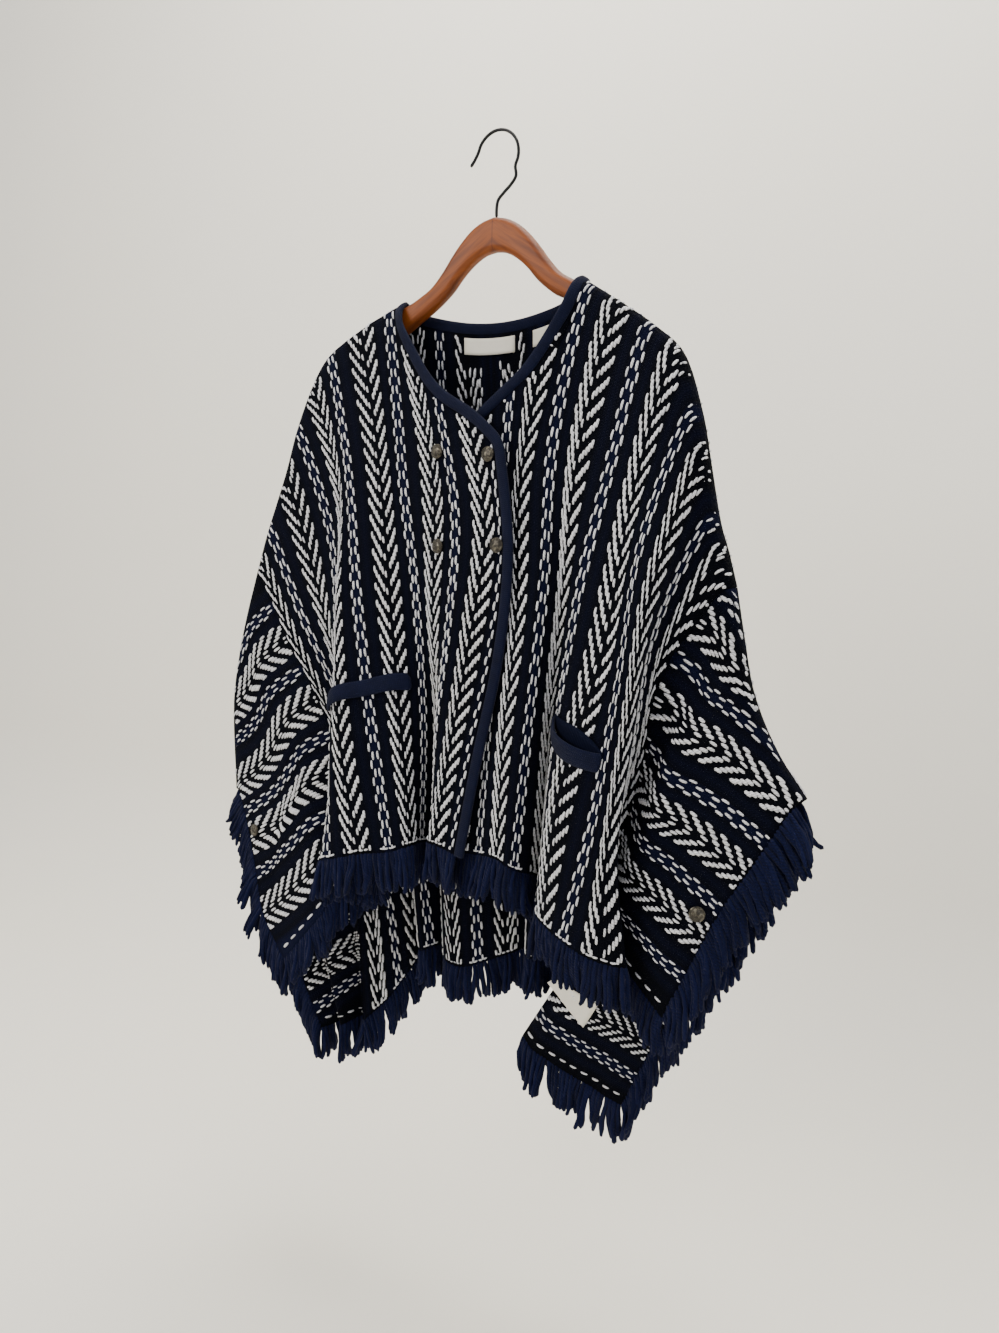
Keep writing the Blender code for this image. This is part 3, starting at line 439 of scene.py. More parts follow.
# The fringe. Leans are shares of a strand's length, and turns are in radians from root to end.
FRINGE_STEP = 4.8          # from one strand to the next in each of the two ranks
RANK_DEPTH = 3.0           # from one rank to the other, through the cloth
TUFT = 10.5                # from one tuft to the next
GATHER = (0.2, 0.5)        # how far a strand's end is drawn to its tuft's middle, as a share of the way
SWING, LIFT = 0.07, 0.12   # how much the tufts lean along the edge, and away from the cloth
STRAY, STRAY_LIFT = 0.035, 0.03   # the same for a single strand
WAVE_ALONG, WAVE_OUT = 1.6, 0.9   # millimetres at a strand's end
WAVE_TURN = 6.5
STRAND_FULLNESS = 0.3
STRAND_WIDE, STRAND_THIN = 3.2, 2.6   # half its section, at the widest
STRAND_TWIST = 4.0

# The edge bindings and welts, a little larger than their solids.
RIB_SIDES = 14
RIB_WIDER, RIB_THICKER = 0.8, 0.9
RIB_LAP, RIB_SUNK = 0.6, 0.4   # how far a binding laps over the edge, and past the panel's inner face
WELT_LIFT, WELT_THICKER = 0.6, 0.6
WELT_END = 0.55            # how full a welt's closed ends are

# A colour Mix node has an input and an output for each type of value, under the same names.
MIX_SHARE, MIX_A, MIX_B, MIXED = 0, 6, 7, 2


def smooth(keys, values, key):
    """Cubic through (keys, values) at key, with the slope at each key taken from its neighbours."""
    keys = np.asarray(keys, float)
    values = np.asarray(values, float)
    key = min(max(key, keys[0]), keys[-1])
    i = int(min(max(np.searchsorted(keys, key) - 1, 0), len(keys) - 2))
    slopes = np.gradient(values, keys, axis=0)
    span = keys[i + 1] - keys[i]
    t = (key - keys[i]) / span
    start = values[i] * (2 * t ** 3 - 3 * t ** 2 + 1) + slopes[i] * span * (t ** 3 - 2 * t ** 2 + t)
    end = values[i + 1] * (3 * t ** 2 - 2 * t ** 3) + slopes[i + 1] * span * (t ** 3 - t ** 2)
    return start + end


def even_points(points, distances_from_start, count_below):
    """Points along a smooth curve: some at set distances, then the rest evenly down to its end."""
    points = np.asarray(points, float)
    steps = np.sqrt(np.linalg.norm(np.diff(points, axis=0), axis=1))
    keys = np.concatenate([[0.0], np.cumsum(steps)])
    fine = np.array([smooth(keys, points, key) for key in np.linspace(0, keys[-1], 97)])
    lengths = travel(fine)
    first = distances_from_start[-1]
    below = np.linspace(first, lengths[-1], count_below + 1)[1:]
    wanted = np.concatenate([distances_from_start, below])
    return read_along(wanted, lengths, fine)


def unit(vectors):
    """Vectors of length one."""
    vectors = np.asarray(vectors, float)
    return vectors / np.linalg.norm(vectors, axis=-1, keepdims=True)


def travel(points):
    """How far along a line of points each of them is, from the first."""
    return np.concatenate([[0.0], np.cumsum(np.linalg.norm(np.diff(points, axis=0), axis=1))])


def read_along(wanted, keys, values):
    """Values in three axes, read between keys at the wanted places."""
    return np.stack([np.interp(wanted, keys, values[:, axis]) for axis in range(3)], axis=1)


class Side:
    """One face of the garment, left or right and front or back: its hang lines and its top edge."""

    def __init__(self, rows, seam, neck, facing):
        self.rows = rows
        self.seam = seam
        self.neck = neck
        self.facing = facing

    def seam_place(self, across):
        """The middle of the cloth on the seam at the top of a hang line, and the way out from it."""
        keys = [point.across for point in self.seam]
        places = [(point.x, point.z) for point in self.seam]
        x, z = smooth(keys, places, across)
        ahead = smooth(keys, places, across + 2)
        behind = smooth(keys, places, across - 2)
        run = unit(ahead - behind)
        outward = np.array([-run[1], 0.0, run[0]]) * np.sign(x)
        return np.array([x, 0.0, z]), outward

    def over_seam(self, across):
        """The first points of a hang line, from the seam over the turn of the shoulder."""
        top, outward = self.seam_place(across)
        points = [top]
        for off, drop in SHOULDER_TURN:
            points.append(top + np.array([0, self.facing * off, 0]) - outward * drop)
        return points

    def line(self, across):
        """Control points of one hang line, from its top to the hem."""
        table = np.array([row[1:] for row in self.rows])
        keys = [row.across for row in self.rows]
        x1, y1, x2, y2, x3, y3, hem_x, hem_y, hem_z = smooth(keys, table, across)
        hem = np.array([hem_x, hem_y, hem_z])
        if self.neck and across < NECK_POINT:
            keys = [point.across for point in self.neck]
            start = [smooth(keys, [point[1:] for point in self.neck], across)]
        else:
            start = self.over_seam(across)
        top = start[0]
        drop = hem[2] - top[2]
        below = [
            np.array([x1, y1, top[2] + drop * 0.25]),
            np.array([x2, y2, top[2] + drop * 0.5]),
            np.array([x3, y3, top[2] + drop * 0.75]),
            hem,
        ]
        return start + below

    def columns(self, stations):
        """Grid of points, a column for each hang line and a row for each step down."""
        columns = []
        for across in stations:
            starts = FIRST_ROWS if self.first_row(across) == 0 else [0.0] * len(FIRST_ROWS)
            columns.append(even_points(self.line(across), starts, ROWS_BELOW))
        return np.array(columns)

    def first_row(self, across):
        """A line inside the neck has no rows over the turn of the shoulder."""
        return len(FIRST_ROWS) - 1 if self.neck and across < NECK_POINT else 0


def spread(stations, widest):
    """Stations with more put in between, so that no two are further apart than widest."""
    result = [stations[0]]
    for start, end in zip(stations, stations[1:]):
        parts = max(1, int(np.ceil((end - start) / widest)))
        for part in range(1, parts + 1):
            result.append(start + (end - start) * part / parts)
    return result


def cells(first_rows, rows):
    """The cells of a grid, where each column starts at its own first row."""
    return [(i, j) for i in range(len(first_rows) - 1) for j in range(max(first_rows[i:i + 2]), rows - 1)]


def grid_normals(grid, first_rows, outward_y):
    """Normals of a grid, the mean of the faces round each point, turned to the front (-1) or back (+1)."""
    normals = np.zeros(grid.shape)
    for i, j in cells(first_rows, grid.shape[1]):
        face = unit(np.cross(grid[i + 1, j] - grid[i, j + 1], grid[i + 1, j + 1] - grid[i, j]))
        normals[i:i + 2, j:j + 2] += face
    lengths = np.linalg.norm(normals, axis=-1, keepdims=True)
    normals = normals / np.maximum(lengths, 1e-9)
    if normals[len(grid) // 2, -3, 1] * outward_y < 0:
        normals = -normals
    return normals


class Sheet:
    """A panel: its mid-surface as a grid, its normals, the stations across and each column's first row."""

    def __init__(self, grid, normals, stations, first_rows):
        self.grid = grid
        self.normals = normals
        self.stations = np.array(stations, float)
        self.first_rows = first_rows

    def at(self, across, down):
        """A point of the panel's own facets and its normal, by hang line and share of the way down."""
        column = np.interp(across, self.stations, np.arange(len(self.stations)))
        rows = len(self.grid[0]) - 1
        row = down * rows
        i = int(min(column, len(self.stations) - 2))
        j = int(min(row, rows - 1))
        u = column - i
        v = row - j
        corners = ((i, j, (1 - u) * (1 - v)), (i + 1, j, u * (1 - v)),
                   (i, j + 1, (1 - u) * v), (i + 1, j + 1, u * v))
        place = sum(self.grid[a, b] * weight for a, b, weight in corners)
        normal = unit(sum(self.normals[a, b] * weight for a, b, weight in corners))
        return place, normal


def crease_depths(face, places, rows):
    """How far each point of a face moves out, from the creases near it."""
    down = np.linspace(0, 1, rows)[None, :]
    places = np.array(places, float)[:, None]
    total = np.zeros((len(places), rows))
    for crease in CREASES[face]:
        share = np.clip((down - crease.start) / (crease.end - crease.start), 0, 1)
        middle = crease.top + (crease.bottom - crease.top) * share
        rise = np.sin(np.pi * share) ** 2
        if crease.end == 1.0:
            rise = np.sin(np.pi / 2 * share) ** 2
        total += crease.depth * rise * np.exp(-((places - middle) / crease.width) ** 2)
    return total


def creased(grid, normals, first_rows, face, places, outward_y):
    """The grid with its small creases, and its new normals."""
    grid = grid + normals * crease_depths(face, places, grid.shape[1])[..., None]
    return grid, grid_normals(grid, first_rows, outward_y)


def joined_sides(parts, outward_y, face):
    """Panels that share seams: one smooth grid with one set of normals, then cut at each seam."""
    grids = []
    for index, (side, stations) in enumerate(parts):
        grid = side.columns(stations)
        grids.append(grid if index == 0 else grid[1:])
    whole = np.concatenate(grids)
    first_rows = [side.first_row(across) for side, stations in parts for across in stations]
    del first_rows[len(parts[0][1])]
    normals = grid_normals(whole, first_rows, outward_y)
    places = list(parts[0][1]) + [BODY_HALF + across for across in parts[1][1][1:]]
    whole, normals = creased(whole, normals, first_rows, face, places, outward_y)
    start = 0
    sheets = []
    for index, (side, stations) in enumerate(parts):
        end = start + len(stations) - 1
        grid = whole[start:end + 1].copy()
        across = np.gradient(whole, axis=0)
        if index > 0:
            grid[0] += unit(across[start]) * SEAM_GAP / 2
        if index < len(parts) - 1:
            grid[-1] -= unit(across[end]) * SEAM_GAP / 2
        sheets.append(Sheet(grid, normals[start:end + 1].copy(), stations, first_rows[start:end + 1]))
        start = end
    return sheets


def settle_top(sheet, side, stations):
    """The top row lies on the shoulder or sleeve seam, square to it and half a gap off."""
    for column, across in enumerate(stations):
        if across < 0:
            continue
        if sheet.first_rows[column] > 0:
            continue
        sheet.normals[column, 0] = side.seam_place(across)[1]
        sheet.grid[column, 0, 1] += side.facing * SEAM_GAP / 2


def edge_frame(points, normals, inside):
    """For an edge of a panel: the way out of the panel, square to the edge and to its normals."""
    along = unit(np.gradient(points, axis=0))
    out = unit(np.cross(along, normals))
    if np.sum(out * (points - inside)) < 0:
        out = -out
    return out


def panels():
    """The mid-surface of each panel, by name."""
    neck_turn = [117, NECK_POINT]
    body_stations = {
        "front_left": spread([row.across for row in FRONT_LEFT[:5]] + [108] + neck_turn
                             + [row.across for row in FRONT_LEFT[6:]], WIDEST_COLUMN),
        "front_right": spread([row.across for row in FRONT_RIGHT[:4]] + [108] + neck_turn
                              + [row.across for row in FRONT_RIGHT[5:]], WIDEST_COLUMN),
    }
    sleeve_stations = spread([0, SLEEVE], WIDEST_COLUMN)
    sheets = {}
    for hand, body_rows, sleeve_rows, seam, top, neck in (
            ("left", FRONT_LEFT, SLEEVE_FRONT_LEFT, SHOULDER_LEFT, SLEEVE_TOP_LEFT, NECK_LEFT),
            ("right", FRONT_RIGHT, SLEEVE_FRONT_RIGHT, SHOULDER_RIGHT, SLEEVE_TOP_RIGHT, NECK_RIGHT)):
        body = Side(body_rows, seam, neck, -1)
        first = body_rows[-1]._replace(across=0)
        sleeve = Side([first] + sleeve_rows, top, None, -1)
        stations = body_stations["front_" + hand]
        made = joined_sides(((body, stations), (sleeve, sleeve_stations)), -1, "front_" + hand)
        settle_top(made[0], body, stations)
        settle_top(made[1], sleeve, sleeve_stations)
        sheets["front_" + hand], sheets["sleeve_front_" + hand] = made

    back_rows_left = [row._replace(across=-row.across) for row in BACK if row.across <= 70][::-1]
    back_rows_right = [row for row in BACK if row.across >= -64]
    neck_left = [point._replace(across=-point.across) for point in NECK_BACK if point.across <= 70][::-1]
    neck_right = [point for point in NECK_BACK if point.across >= -64]
    left = Side(back_rows_left, SHOULDER_LEFT, neck_left, 1)
    right = Side(back_rows_right, SHOULDER_RIGHT, neck_right, 1)
    sleeve_left = Side([BACK[0]._replace(across=0)] + SLEEVE_BACK_LEFT, SLEEVE_TOP_LEFT, None, 1)
    sleeve_right = Side([BACK[-1]._replace(across=0)] + SLEEVE_BACK_RIGHT, SLEEVE_TOP_RIGHT, None, 1)
    half_back = spread([0, 20, 70, 98] + neck_turn
                       + [150, 170, 200, 220, 245, 270, 305, 345, 367, BODY_HALF], WIDEST_COLUMN)
    cuff_in = [SLEEVE - s for s in sleeve_stations]
    grids = [
        sleeve_left.columns(cuff_in),
        left.columns(half_back[::-1])[1:],
        right.columns(half_back)[1:],
        sleeve_right.columns(sleeve_stations)[1:],
    ]
    whole = np.concatenate(grids)
    first_rows = [0] * len(cuff_in)
    first_rows += [left.first_row(across) for across in half_back[-2::-1]]
    first_rows += [right.first_row(across) for across in half_back[1:]]
    first_rows += [0] * (len(sleeve_stations) - 1)
    normals = grid_normals(whole, first_rows, 1)
    places = [-BODY_HALF - s for s in cuff_in[:-1]] + [-s for s in half_back[::-1]] + half_back[1:]
    places += [BODY_HALF + s for s in sleeve_stations[1:]]
    whole, normals = creased(whole, normals, first_rows, "back", places, 1)
    across = unit(np.gradient(whole, axis=0))
    first_seam = len(cuff_in) - 1
    back_stations = [-s for s in half_back[::-1]] + half_back[1:]
    second_seam = first_seam + len(back_stations) - 1
    gap = SEAM_GAP / 2
    pieces = (
        ("sleeve_back_left", 0, first_seam, [-s for s in cuff_in], 0, -gap),
        ("back", first_seam, second_seam, back_stations, gap, -gap),
        ("sleeve_back_right", second_seam, len(whole) - 1, sleeve_stations, gap, 0),
    )
    for name, start, end, stations, at_start, at_end in pieces:
        grid = whole[start:end + 1].copy()
        grid[0] += across[start] * at_start
        grid[-1] += across[end] * at_end
        sheets[name] = Sheet(grid, normals[start:end + 1].copy(), stations, first_rows[start:end + 1])
    settle_top(sheets["sleeve_back_left"], sleeve_left, cuff_in)
    settle_top(sheets["sleeve_back_right"], sleeve_right, sleeve_stations)
    settle_top(sheets["back"], left, [-station for station in back_stations])
    settle_top(sheets["back"], right, back_stations)
    return sheets


def placed(name, mesh, finish, node_names, slot):
    """A mesh as a piece of the scene: its material, its body, and the nodes it stands for. Its slot is not
    used.
    """
    mesh.materials.append(finish)
    piece = bpy.data.objects.new(name, mesh)
    bpy.context.scene.collection.objects.link(piece)
    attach(piece, "root")
    if node_names:
        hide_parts(*node_names)
    return piece


def mesh_piece(name, builder, finish, node_names, slot, smooth_faces=True):
    """A piece from a bmesh in millimetres."""
    bmesh.ops.scale(builder, vec=(MM, MM, MM), verts=builder.verts)
    mesh = bpy.data.meshes.new(name)
    builder.to_mesh(mesh)
    builder.free()
    for polygon in mesh.polygons:
        polygon.use_smooth = smooth_faces
    return placed(name, mesh, finish, node_names, slot)


def template(sides, rings, fullness):
    """One stitch, from a ball: its points as along, aside and up, each from -1 to 1, and its faces."""
    ball = bmesh.new()
    bmesh.ops.create_uvsphere(ball, u_segments=sides, v_segments=rings, radius=1.0)
    bmesh.ops.rotate(ball, verts=ball.verts, cent=(0, 0, 0), matrix=Matrix.Rotation(np.pi / 2, 3, "Y"))
    points = np.array([vert.co[:] for vert in ball.verts])
    faces = [[vert.index for vert in face.verts] for face in ball.faces]
    ball.free()
    radius = np.linalg.norm(points[:, 1:], axis=1)
    wanted = radius ** fullness
    grown = np.where(radius > 1e-6, wanted / np.maximum(radius, 1e-6), 0)
    points[:, 1:] *= grown[:, None]
    return points, faces


class Cloth:
    """A panel with its surface measured out: along is the length of cloth up from the hem."""

    def __init__(self, sheet):
        self.sheet = sheet
        steps = np.linalg.norm(np.diff(sheet.grid, axis=1), axis=2)
        self.heights = np.zeros(sheet.grid.shape[:2])
        self.heights[:, :-1] = np.cumsum(steps[:, ::-1], axis=1)[:, ::-1]
        self.tops = self.heights[:, 0]
        count = int(self.tops.max() / LEVEL) + 2
        levels = np.arange(count) * LEVEL
        self.places = np.zeros((len(sheet.grid), count, 3))
        self.normals = np.zeros((len(sheet.grid), count, 3))
        for column in range(len(sheet.grid)):
            first = sheet.first_rows[column]
            heights = self.heights[column, first:][::-1]
            self.places[column] = read_along(levels, heights, sheet.grid[column, first:][::-1])
            self.normals[column] = read_along(levels, heights, sheet.normals[column, first:][::-1])

    def at(self, across, along):
        """Places and normals of many points of the panel at once."""
        columns = np.interp(across, self.sheet.stations, np.arange(len(self.sheet.stations)))
        i = np.minimum(columns.astype(int), len(self.sheet.stations) - 2)
        levels = np.clip(along / LEVEL, 0, self.places.shape[1] - 1.001)
        j = levels.astype(int)
        u = (columns - i)[..., None]
        v = (levels - j)[..., None]
        mixed = []
        for values in (self.places, self.normals):
            low = values[i, j] * (1 - u) + values[i + 1, j] * u
            high = values[i, j + 1] * (1 - u) + values[i + 1, j + 1] * u
            mixed.append(low * (1 - v) + high * v)
        return mixed[0], unit(mixed[1])

    def room(self, across):
        """Length of the cloth from the hem to the top, at places across."""
        return np.interp(across, self.sheet.stations, self.tops)


def clipped(stitches, cloth, first, last, foot):
    """The stitches with what runs over the panel's sides, hem and top taken off."""
    low, high = min(first, last), max(first, last)
    limits = (
        lambda across, along: across - low,
        lambda across, along: high - across,
        lambda across, along: along - foot,
        lambda across, along: cloth.room(across) - TOP_ROOM - along,
    )
    for limit in limits:
        start = limit(stitches[:, 0], stitches[:, 1])
        end = limit(stitches[:, 2], stitches[:, 3])
        keep = (start > 0) | (end > 0)
        stitches, start, end = stitches[keep], start[keep], end[keep]
        share = np.clip(start / np.where(start == end, 1, start - end), 0, 1)[:, None]
        middle = stitches[:, :2] * (1 - share) + stitches[:, 2:4] * share
        late = (start < 0)[:, None]
        early = (end < 0)[:, None]
        stitches = np.concatenate([np.where(late, middle, stitches[:, :2]),
                                   np.where(early, middle, stitches[:, 2:4]), stitches[:, 4:]], axis=1)
    length = np.hypot(stitches[:, 2] - stitches[:, 0], stitches[:, 3] - stitches[:, 1])
    return stitches[length > SHORTEST_STITCH]


def stripe(centre, tables, step, count):
    """Stitches of one stripe, step after step: rows of off and along, at start and end, and thickness.

    The first table is drawn on the side of higher off, the second on the other side.
    """
    scale = step / DRAWN_STEP
    shift = np.arange(count)[:, None] * step
    rows = []
    for hand, table in zip((1, -1), tables):
        table = np.array(table)
        rows.append(np.stack([
            (centre + hand * table[:, 0])[None, :] + 0 * shift,
            shift + table[:, 1] * scale,
            (centre + hand * table[:, 2])[None, :] + 0 * shift,
            shift + table[:, 3] * scale,
            table[:, 4] + 0 * shift,
        ], axis=2).reshape(-1, 5))
    return np.concatenate(rows)


def body_stitches(cloth, name, plain):
    """All stitches of a front or the back. The V's point to the hem."""
    longest = float(cloth.tops.max())
    arms = (PLAIN_ARM, PLAIN_ARM)
    if not plain:
        arms = (LONG_ARM, SHORT_ARM) if name == "front_left" else (SHORT_ARM, LONG_ARM)
    middle_step = LEFT_STEP if name == "front_left" else BODY_STEP[0]
    parts = []

    def add(sign, centre, tables, step):
        count = int(longest / step) + 4
        rows = stripe(centre, tables, step, count)
        foot = count * step - BELOW_HEM
        parts.append(np.stack([sign * rows[:, 0], foot - rows[:, 1], sign * rows[:, 2], foot - rows[:, 3],
                               rows[:, 4]], axis=1))

    for sign in ((1, -1) if name == "back" else (1,)):
        for number in range(STRIPES):
            for first, tables in ((FIRST_VEES, arms), (FIRST_CHAIN, (CHAIN, CHAIN))):
                centre = first + number * REPEAT
                share = np.clip((centre - WIDER_FROM) / WIDER_OVER, 0, 1)
                step = middle_step + (BODY_STEP[1] - middle_step) * share * share * (3 - 2 * share)
                add(sign, centre, tables, step)
        add(sign, BACK_EDGE_CHAIN if name == "back" else 0.0, (EDGE_CHAIN,), middle_step)
        for middle in np.arange(FIRST_VEES, BODY_HALF, REPEAT / 2):
            parts.append(np.array([(sign * (middle + off - MARK_HALF), MARK_HEIGHT + rise,
                                    sign * (middle + off + MARK_HALF), MARK_HEIGHT - rise, MARK_THICK)
                                   for off, rise in HEM_MARKS]))
    rows = np.concatenate(parts)
    if name == "back":
        rows[:, 0] += back_lean(cloth, rows[:, 1])
        rows[:, 2] += back_lean(cloth, rows[:, 3])
    return rows


def back_lean(cloth, along):
    """How far the back's stripes have moved aside at a height."""
    share = np.clip(along / cloth.tops.max(), 0, 1)
    return BACK_LEAN[1] + (BACK_LEAN[0] - BACK_LEAN[1]) * share


def sleeve_stitches(name, sign):
    """All stitches of a sleeve panel: the stripes run to the cuff, and the V's point to it."""
    hand = name.rsplit("_", 1)[1]
    step = SLEEVE_STEP[hand]
    arms = (CLOSE_ARM, CLOSE_ARM) if name == "sleeve_front_left" else (WIDE_ARM, WIDE_ARM)
    stripes = SLEEVE_STRIPES[hand]
    if "back" in name:
        at_seam, at_cuff = BACK_SLEEVE_CHAIN[hand]
        rises = [number * BACK_SLEEVE_PITCH for number in range(BACK_SLEEVE_STRIPES)]
        stripes = [SleeveStripe((CHAIN_AT, VEES_AT)[number % 2], at_seam + rise, at_cuff + rise)
                   for number, rise in enumerate(rises)]
    parts = []
    for piece in stripes:
        count = int(SLEEVE / step) + 4
        rows = stripe(0.0, arms if piece.kind == VEES_AT else (CHAIN, CHAIN), step, count)
        placed = []
        for off, along in ((rows[:, 0], rows[:, 1]), (rows[:, 2], rows[:, 3])):
            across = along - BEFORE_SEAM
            share = across / SLEEVE
            middle = piece.at_seam + (piece.at_cuff - piece.at_seam) * share
            wide = SPREAD[hand][0] + (SPREAD[hand][1] - SPREAD[hand][0]) * share
            placed += [sign * across, middle + off * wide]
        parts.append(np.stack(placed + [rows[:, 4]], axis=1))
    mark = SLEEVE_MARKS
    parts.append(np.array([(sign * (place - mark.half), mark.low,
                            sign * (place + mark.half), mark.high, mark.thick)
                           for place in np.arange(mark.first, SLEEVE, mark.pitch)]))
    return np.concatenate(parts)


def weave_places(name, sheet, cloth):
    """Where each point of a panel is in the stripes: off from a chain, and along, in metres."""
    across = np.repeat(np.abs(sheet.stations)[:, None], sheet.grid.shape[1], axis=1)
    if not name.startswith("sleeve"):
        if name == "back":
            across = np.abs(sheet.stations[:, None] - back_lean(cloth, cloth.heights))
        return (across - FIRST_CHAIN) * MM, cloth.heights * MM
    hand = name.rsplit("_", 1)[1]
    at_seam, at_cuff = BACK_SLEEVE_CHAIN[hand]
    offs = cloth.heights - at_seam - (at_cuff - at_seam) * across / SLEEVE
    offs = offs * REPEAT / (2 * BACK_SLEEVE_PITCH)
    if "front" in name:
        stripes = SLEEVE_STRIPES[hand][::-1]
        first = 0.0 if stripes[0].kind == CHAIN_AT else 0.5
        phases = (first + np.arange(-1, len(stripes) + 1) * 0.5) * REPEAT
        for column in range(len(across)):
            share = across[column, 0] / SLEEVE
            middles = [piece.at_seam + (piece.at_cuff - piece.at_seam) * share for piece in stripes]
            middles = [middles[0] - BEYOND] + middles + [middles[-1] + BEYOND]
            offs[column] = np.interp(cloth.heights[column], middles, phases)
    return offs * MM, across * MM


def ground(name, sheet, cloth, finish):
    """The ground of a panel: a thin shell, with the place in the stripes in its UV map."""
    builder = bmesh.new()
    weave = builder.loops.layers.uv.new("weave")
    offs, runs = weave_places(name, sheet, cloth)
    corners = {}
    for i, j in cells(sheet.first_rows, sheet.grid.shape[1]):
        ring = [(i, j), (i + 1, j), (i + 1, j + 1), (i, j + 1)]
        for place in ring:
            if place not in corners:
                corners[place] = builder.verts.new(sheet.grid[place])
        face = builder.faces.new([corners[place] for place in ring])
        for loop, place in zip(face.loops, ring):
            loop[weave].uv = (offs[place], runs[place])
    builder.normal_update()
    middle = list(corners)[len(corners) // 2]
    if np.dot(corners[middle].normal, sheet.normals[middle]) < 0:
        bmesh.ops.reverse_faces(builder, faces=builder.faces)
    piece = mesh_piece("cloth_" + name, builder, finish, [name], "knit")
    shell = piece.modifiers.new("shell", "SOLIDIFY")
    shell.thickness = SHELL * MM
    shell.offset = 0.0
    return piece


def copies(name, places, faces, tones, uv, finish, node_names, slot):
    """One mesh of many copies of a pattern, with the places of all their points worked out."""
    amount, count = places.shape[:2]
    mesh = bpy.data.meshes.new(name)
    every = [[vert + index * count for vert in face] for index in range(amount) for face in faces]
    mesh.from_pydata((places.reshape(-1, 3) * MM).tolist(), [], every)
    tone = mesh.attributes.new("tone", "FLOAT", "POINT")
    tone.data.foreach_set("value", np.repeat(tones, count))
    corner = np.zeros(len(mesh.loops), dtype=np.int32)
    mesh.loops.foreach_get("vertex_index", corner)
    layer = mesh.uv_layers.new(name="strand")
    layer.data.foreach_set("uv", uv.reshape(-1, 2)[corner].astype(np.float32).ravel())
    mesh.polygons.foreach_set("use_smooth", [True] * len(mesh.polygons))
    mesh.update()
    return placed(name, mesh, finish, node_names, slot)


def stitches_piece(name, cloth, rows, side, pattern, finish):
    """Many stitches on a panel, each laid along the cloth from its start to its end."""
    points, faces = pattern
    share = (points[:, 0] + 1) / 2
    across = rows[:, None, 0] * (1 - share) + rows[:, None, 2] * share
    along = rows[:, None, 1] * (1 - share) + rows[:, None, 3] * share
    places, normals = cloth.at(across, along)
    starts, _ = cloth.at(rows[:, 0], rows[:, 1])
    ends, _ = cloth.at(rows[:, 2], rows[:, 3])
    run = unit(ends - starts)[:, None, :]
    out = normals * side
    aside = unit(np.cross(out, run))
    # Where the cloth is squeezed together across, its stitches are thinner.
    inside = np.clip((rows[:, 0] + rows[:, 2]) / 2, rows[:, 0].min() + 4, rows[:, 0].max() - 4)
    halfway = (rows[:, 1] + rows[:, 3]) / 2
    before, _ = cloth.at(inside - SQUEEZE_SPAN / 2, halfway)
    after, _ = cloth.at(inside + SQUEEZE_SPAN / 2, halfway)
    squeeze = np.clip(np.linalg.norm(after - before, axis=1) / SQUEEZE_SPAN, MOST_SQUEEZED, 1.0)
    size = random.uniform(*STITCH_SIZES, (len(rows), 1, 1)) * (rows[:, 4] * squeeze)[:, None, None] / 2
    shift = random.uniform(-STITCH_SHIFT, STITCH_SHIFT, (len(rows), 1, 1))
    bow = SHELL / 2 + STITCH_BOW * (1 - points[:, 0] ** 2)
    rise = bow[None, :, None] + points[None, :, 2:3] * size * STITCH_FLATNESS
    places = places + aside * (points[None, :, 1:2] * size + shift) + out * rise
    around = np.arctan2(points[:, 2], points[:, 1]) / (2 * np.pi)
    length = np.linalg.norm(ends - starts, axis=1)
    uv = np.stack([np.tile(around, (len(rows), 1)), share[None, :] * length[:, None] / 10], axis=2)
    return copies(name, places, faces, random.random(len(rows)), uv, finish, [], "knit")


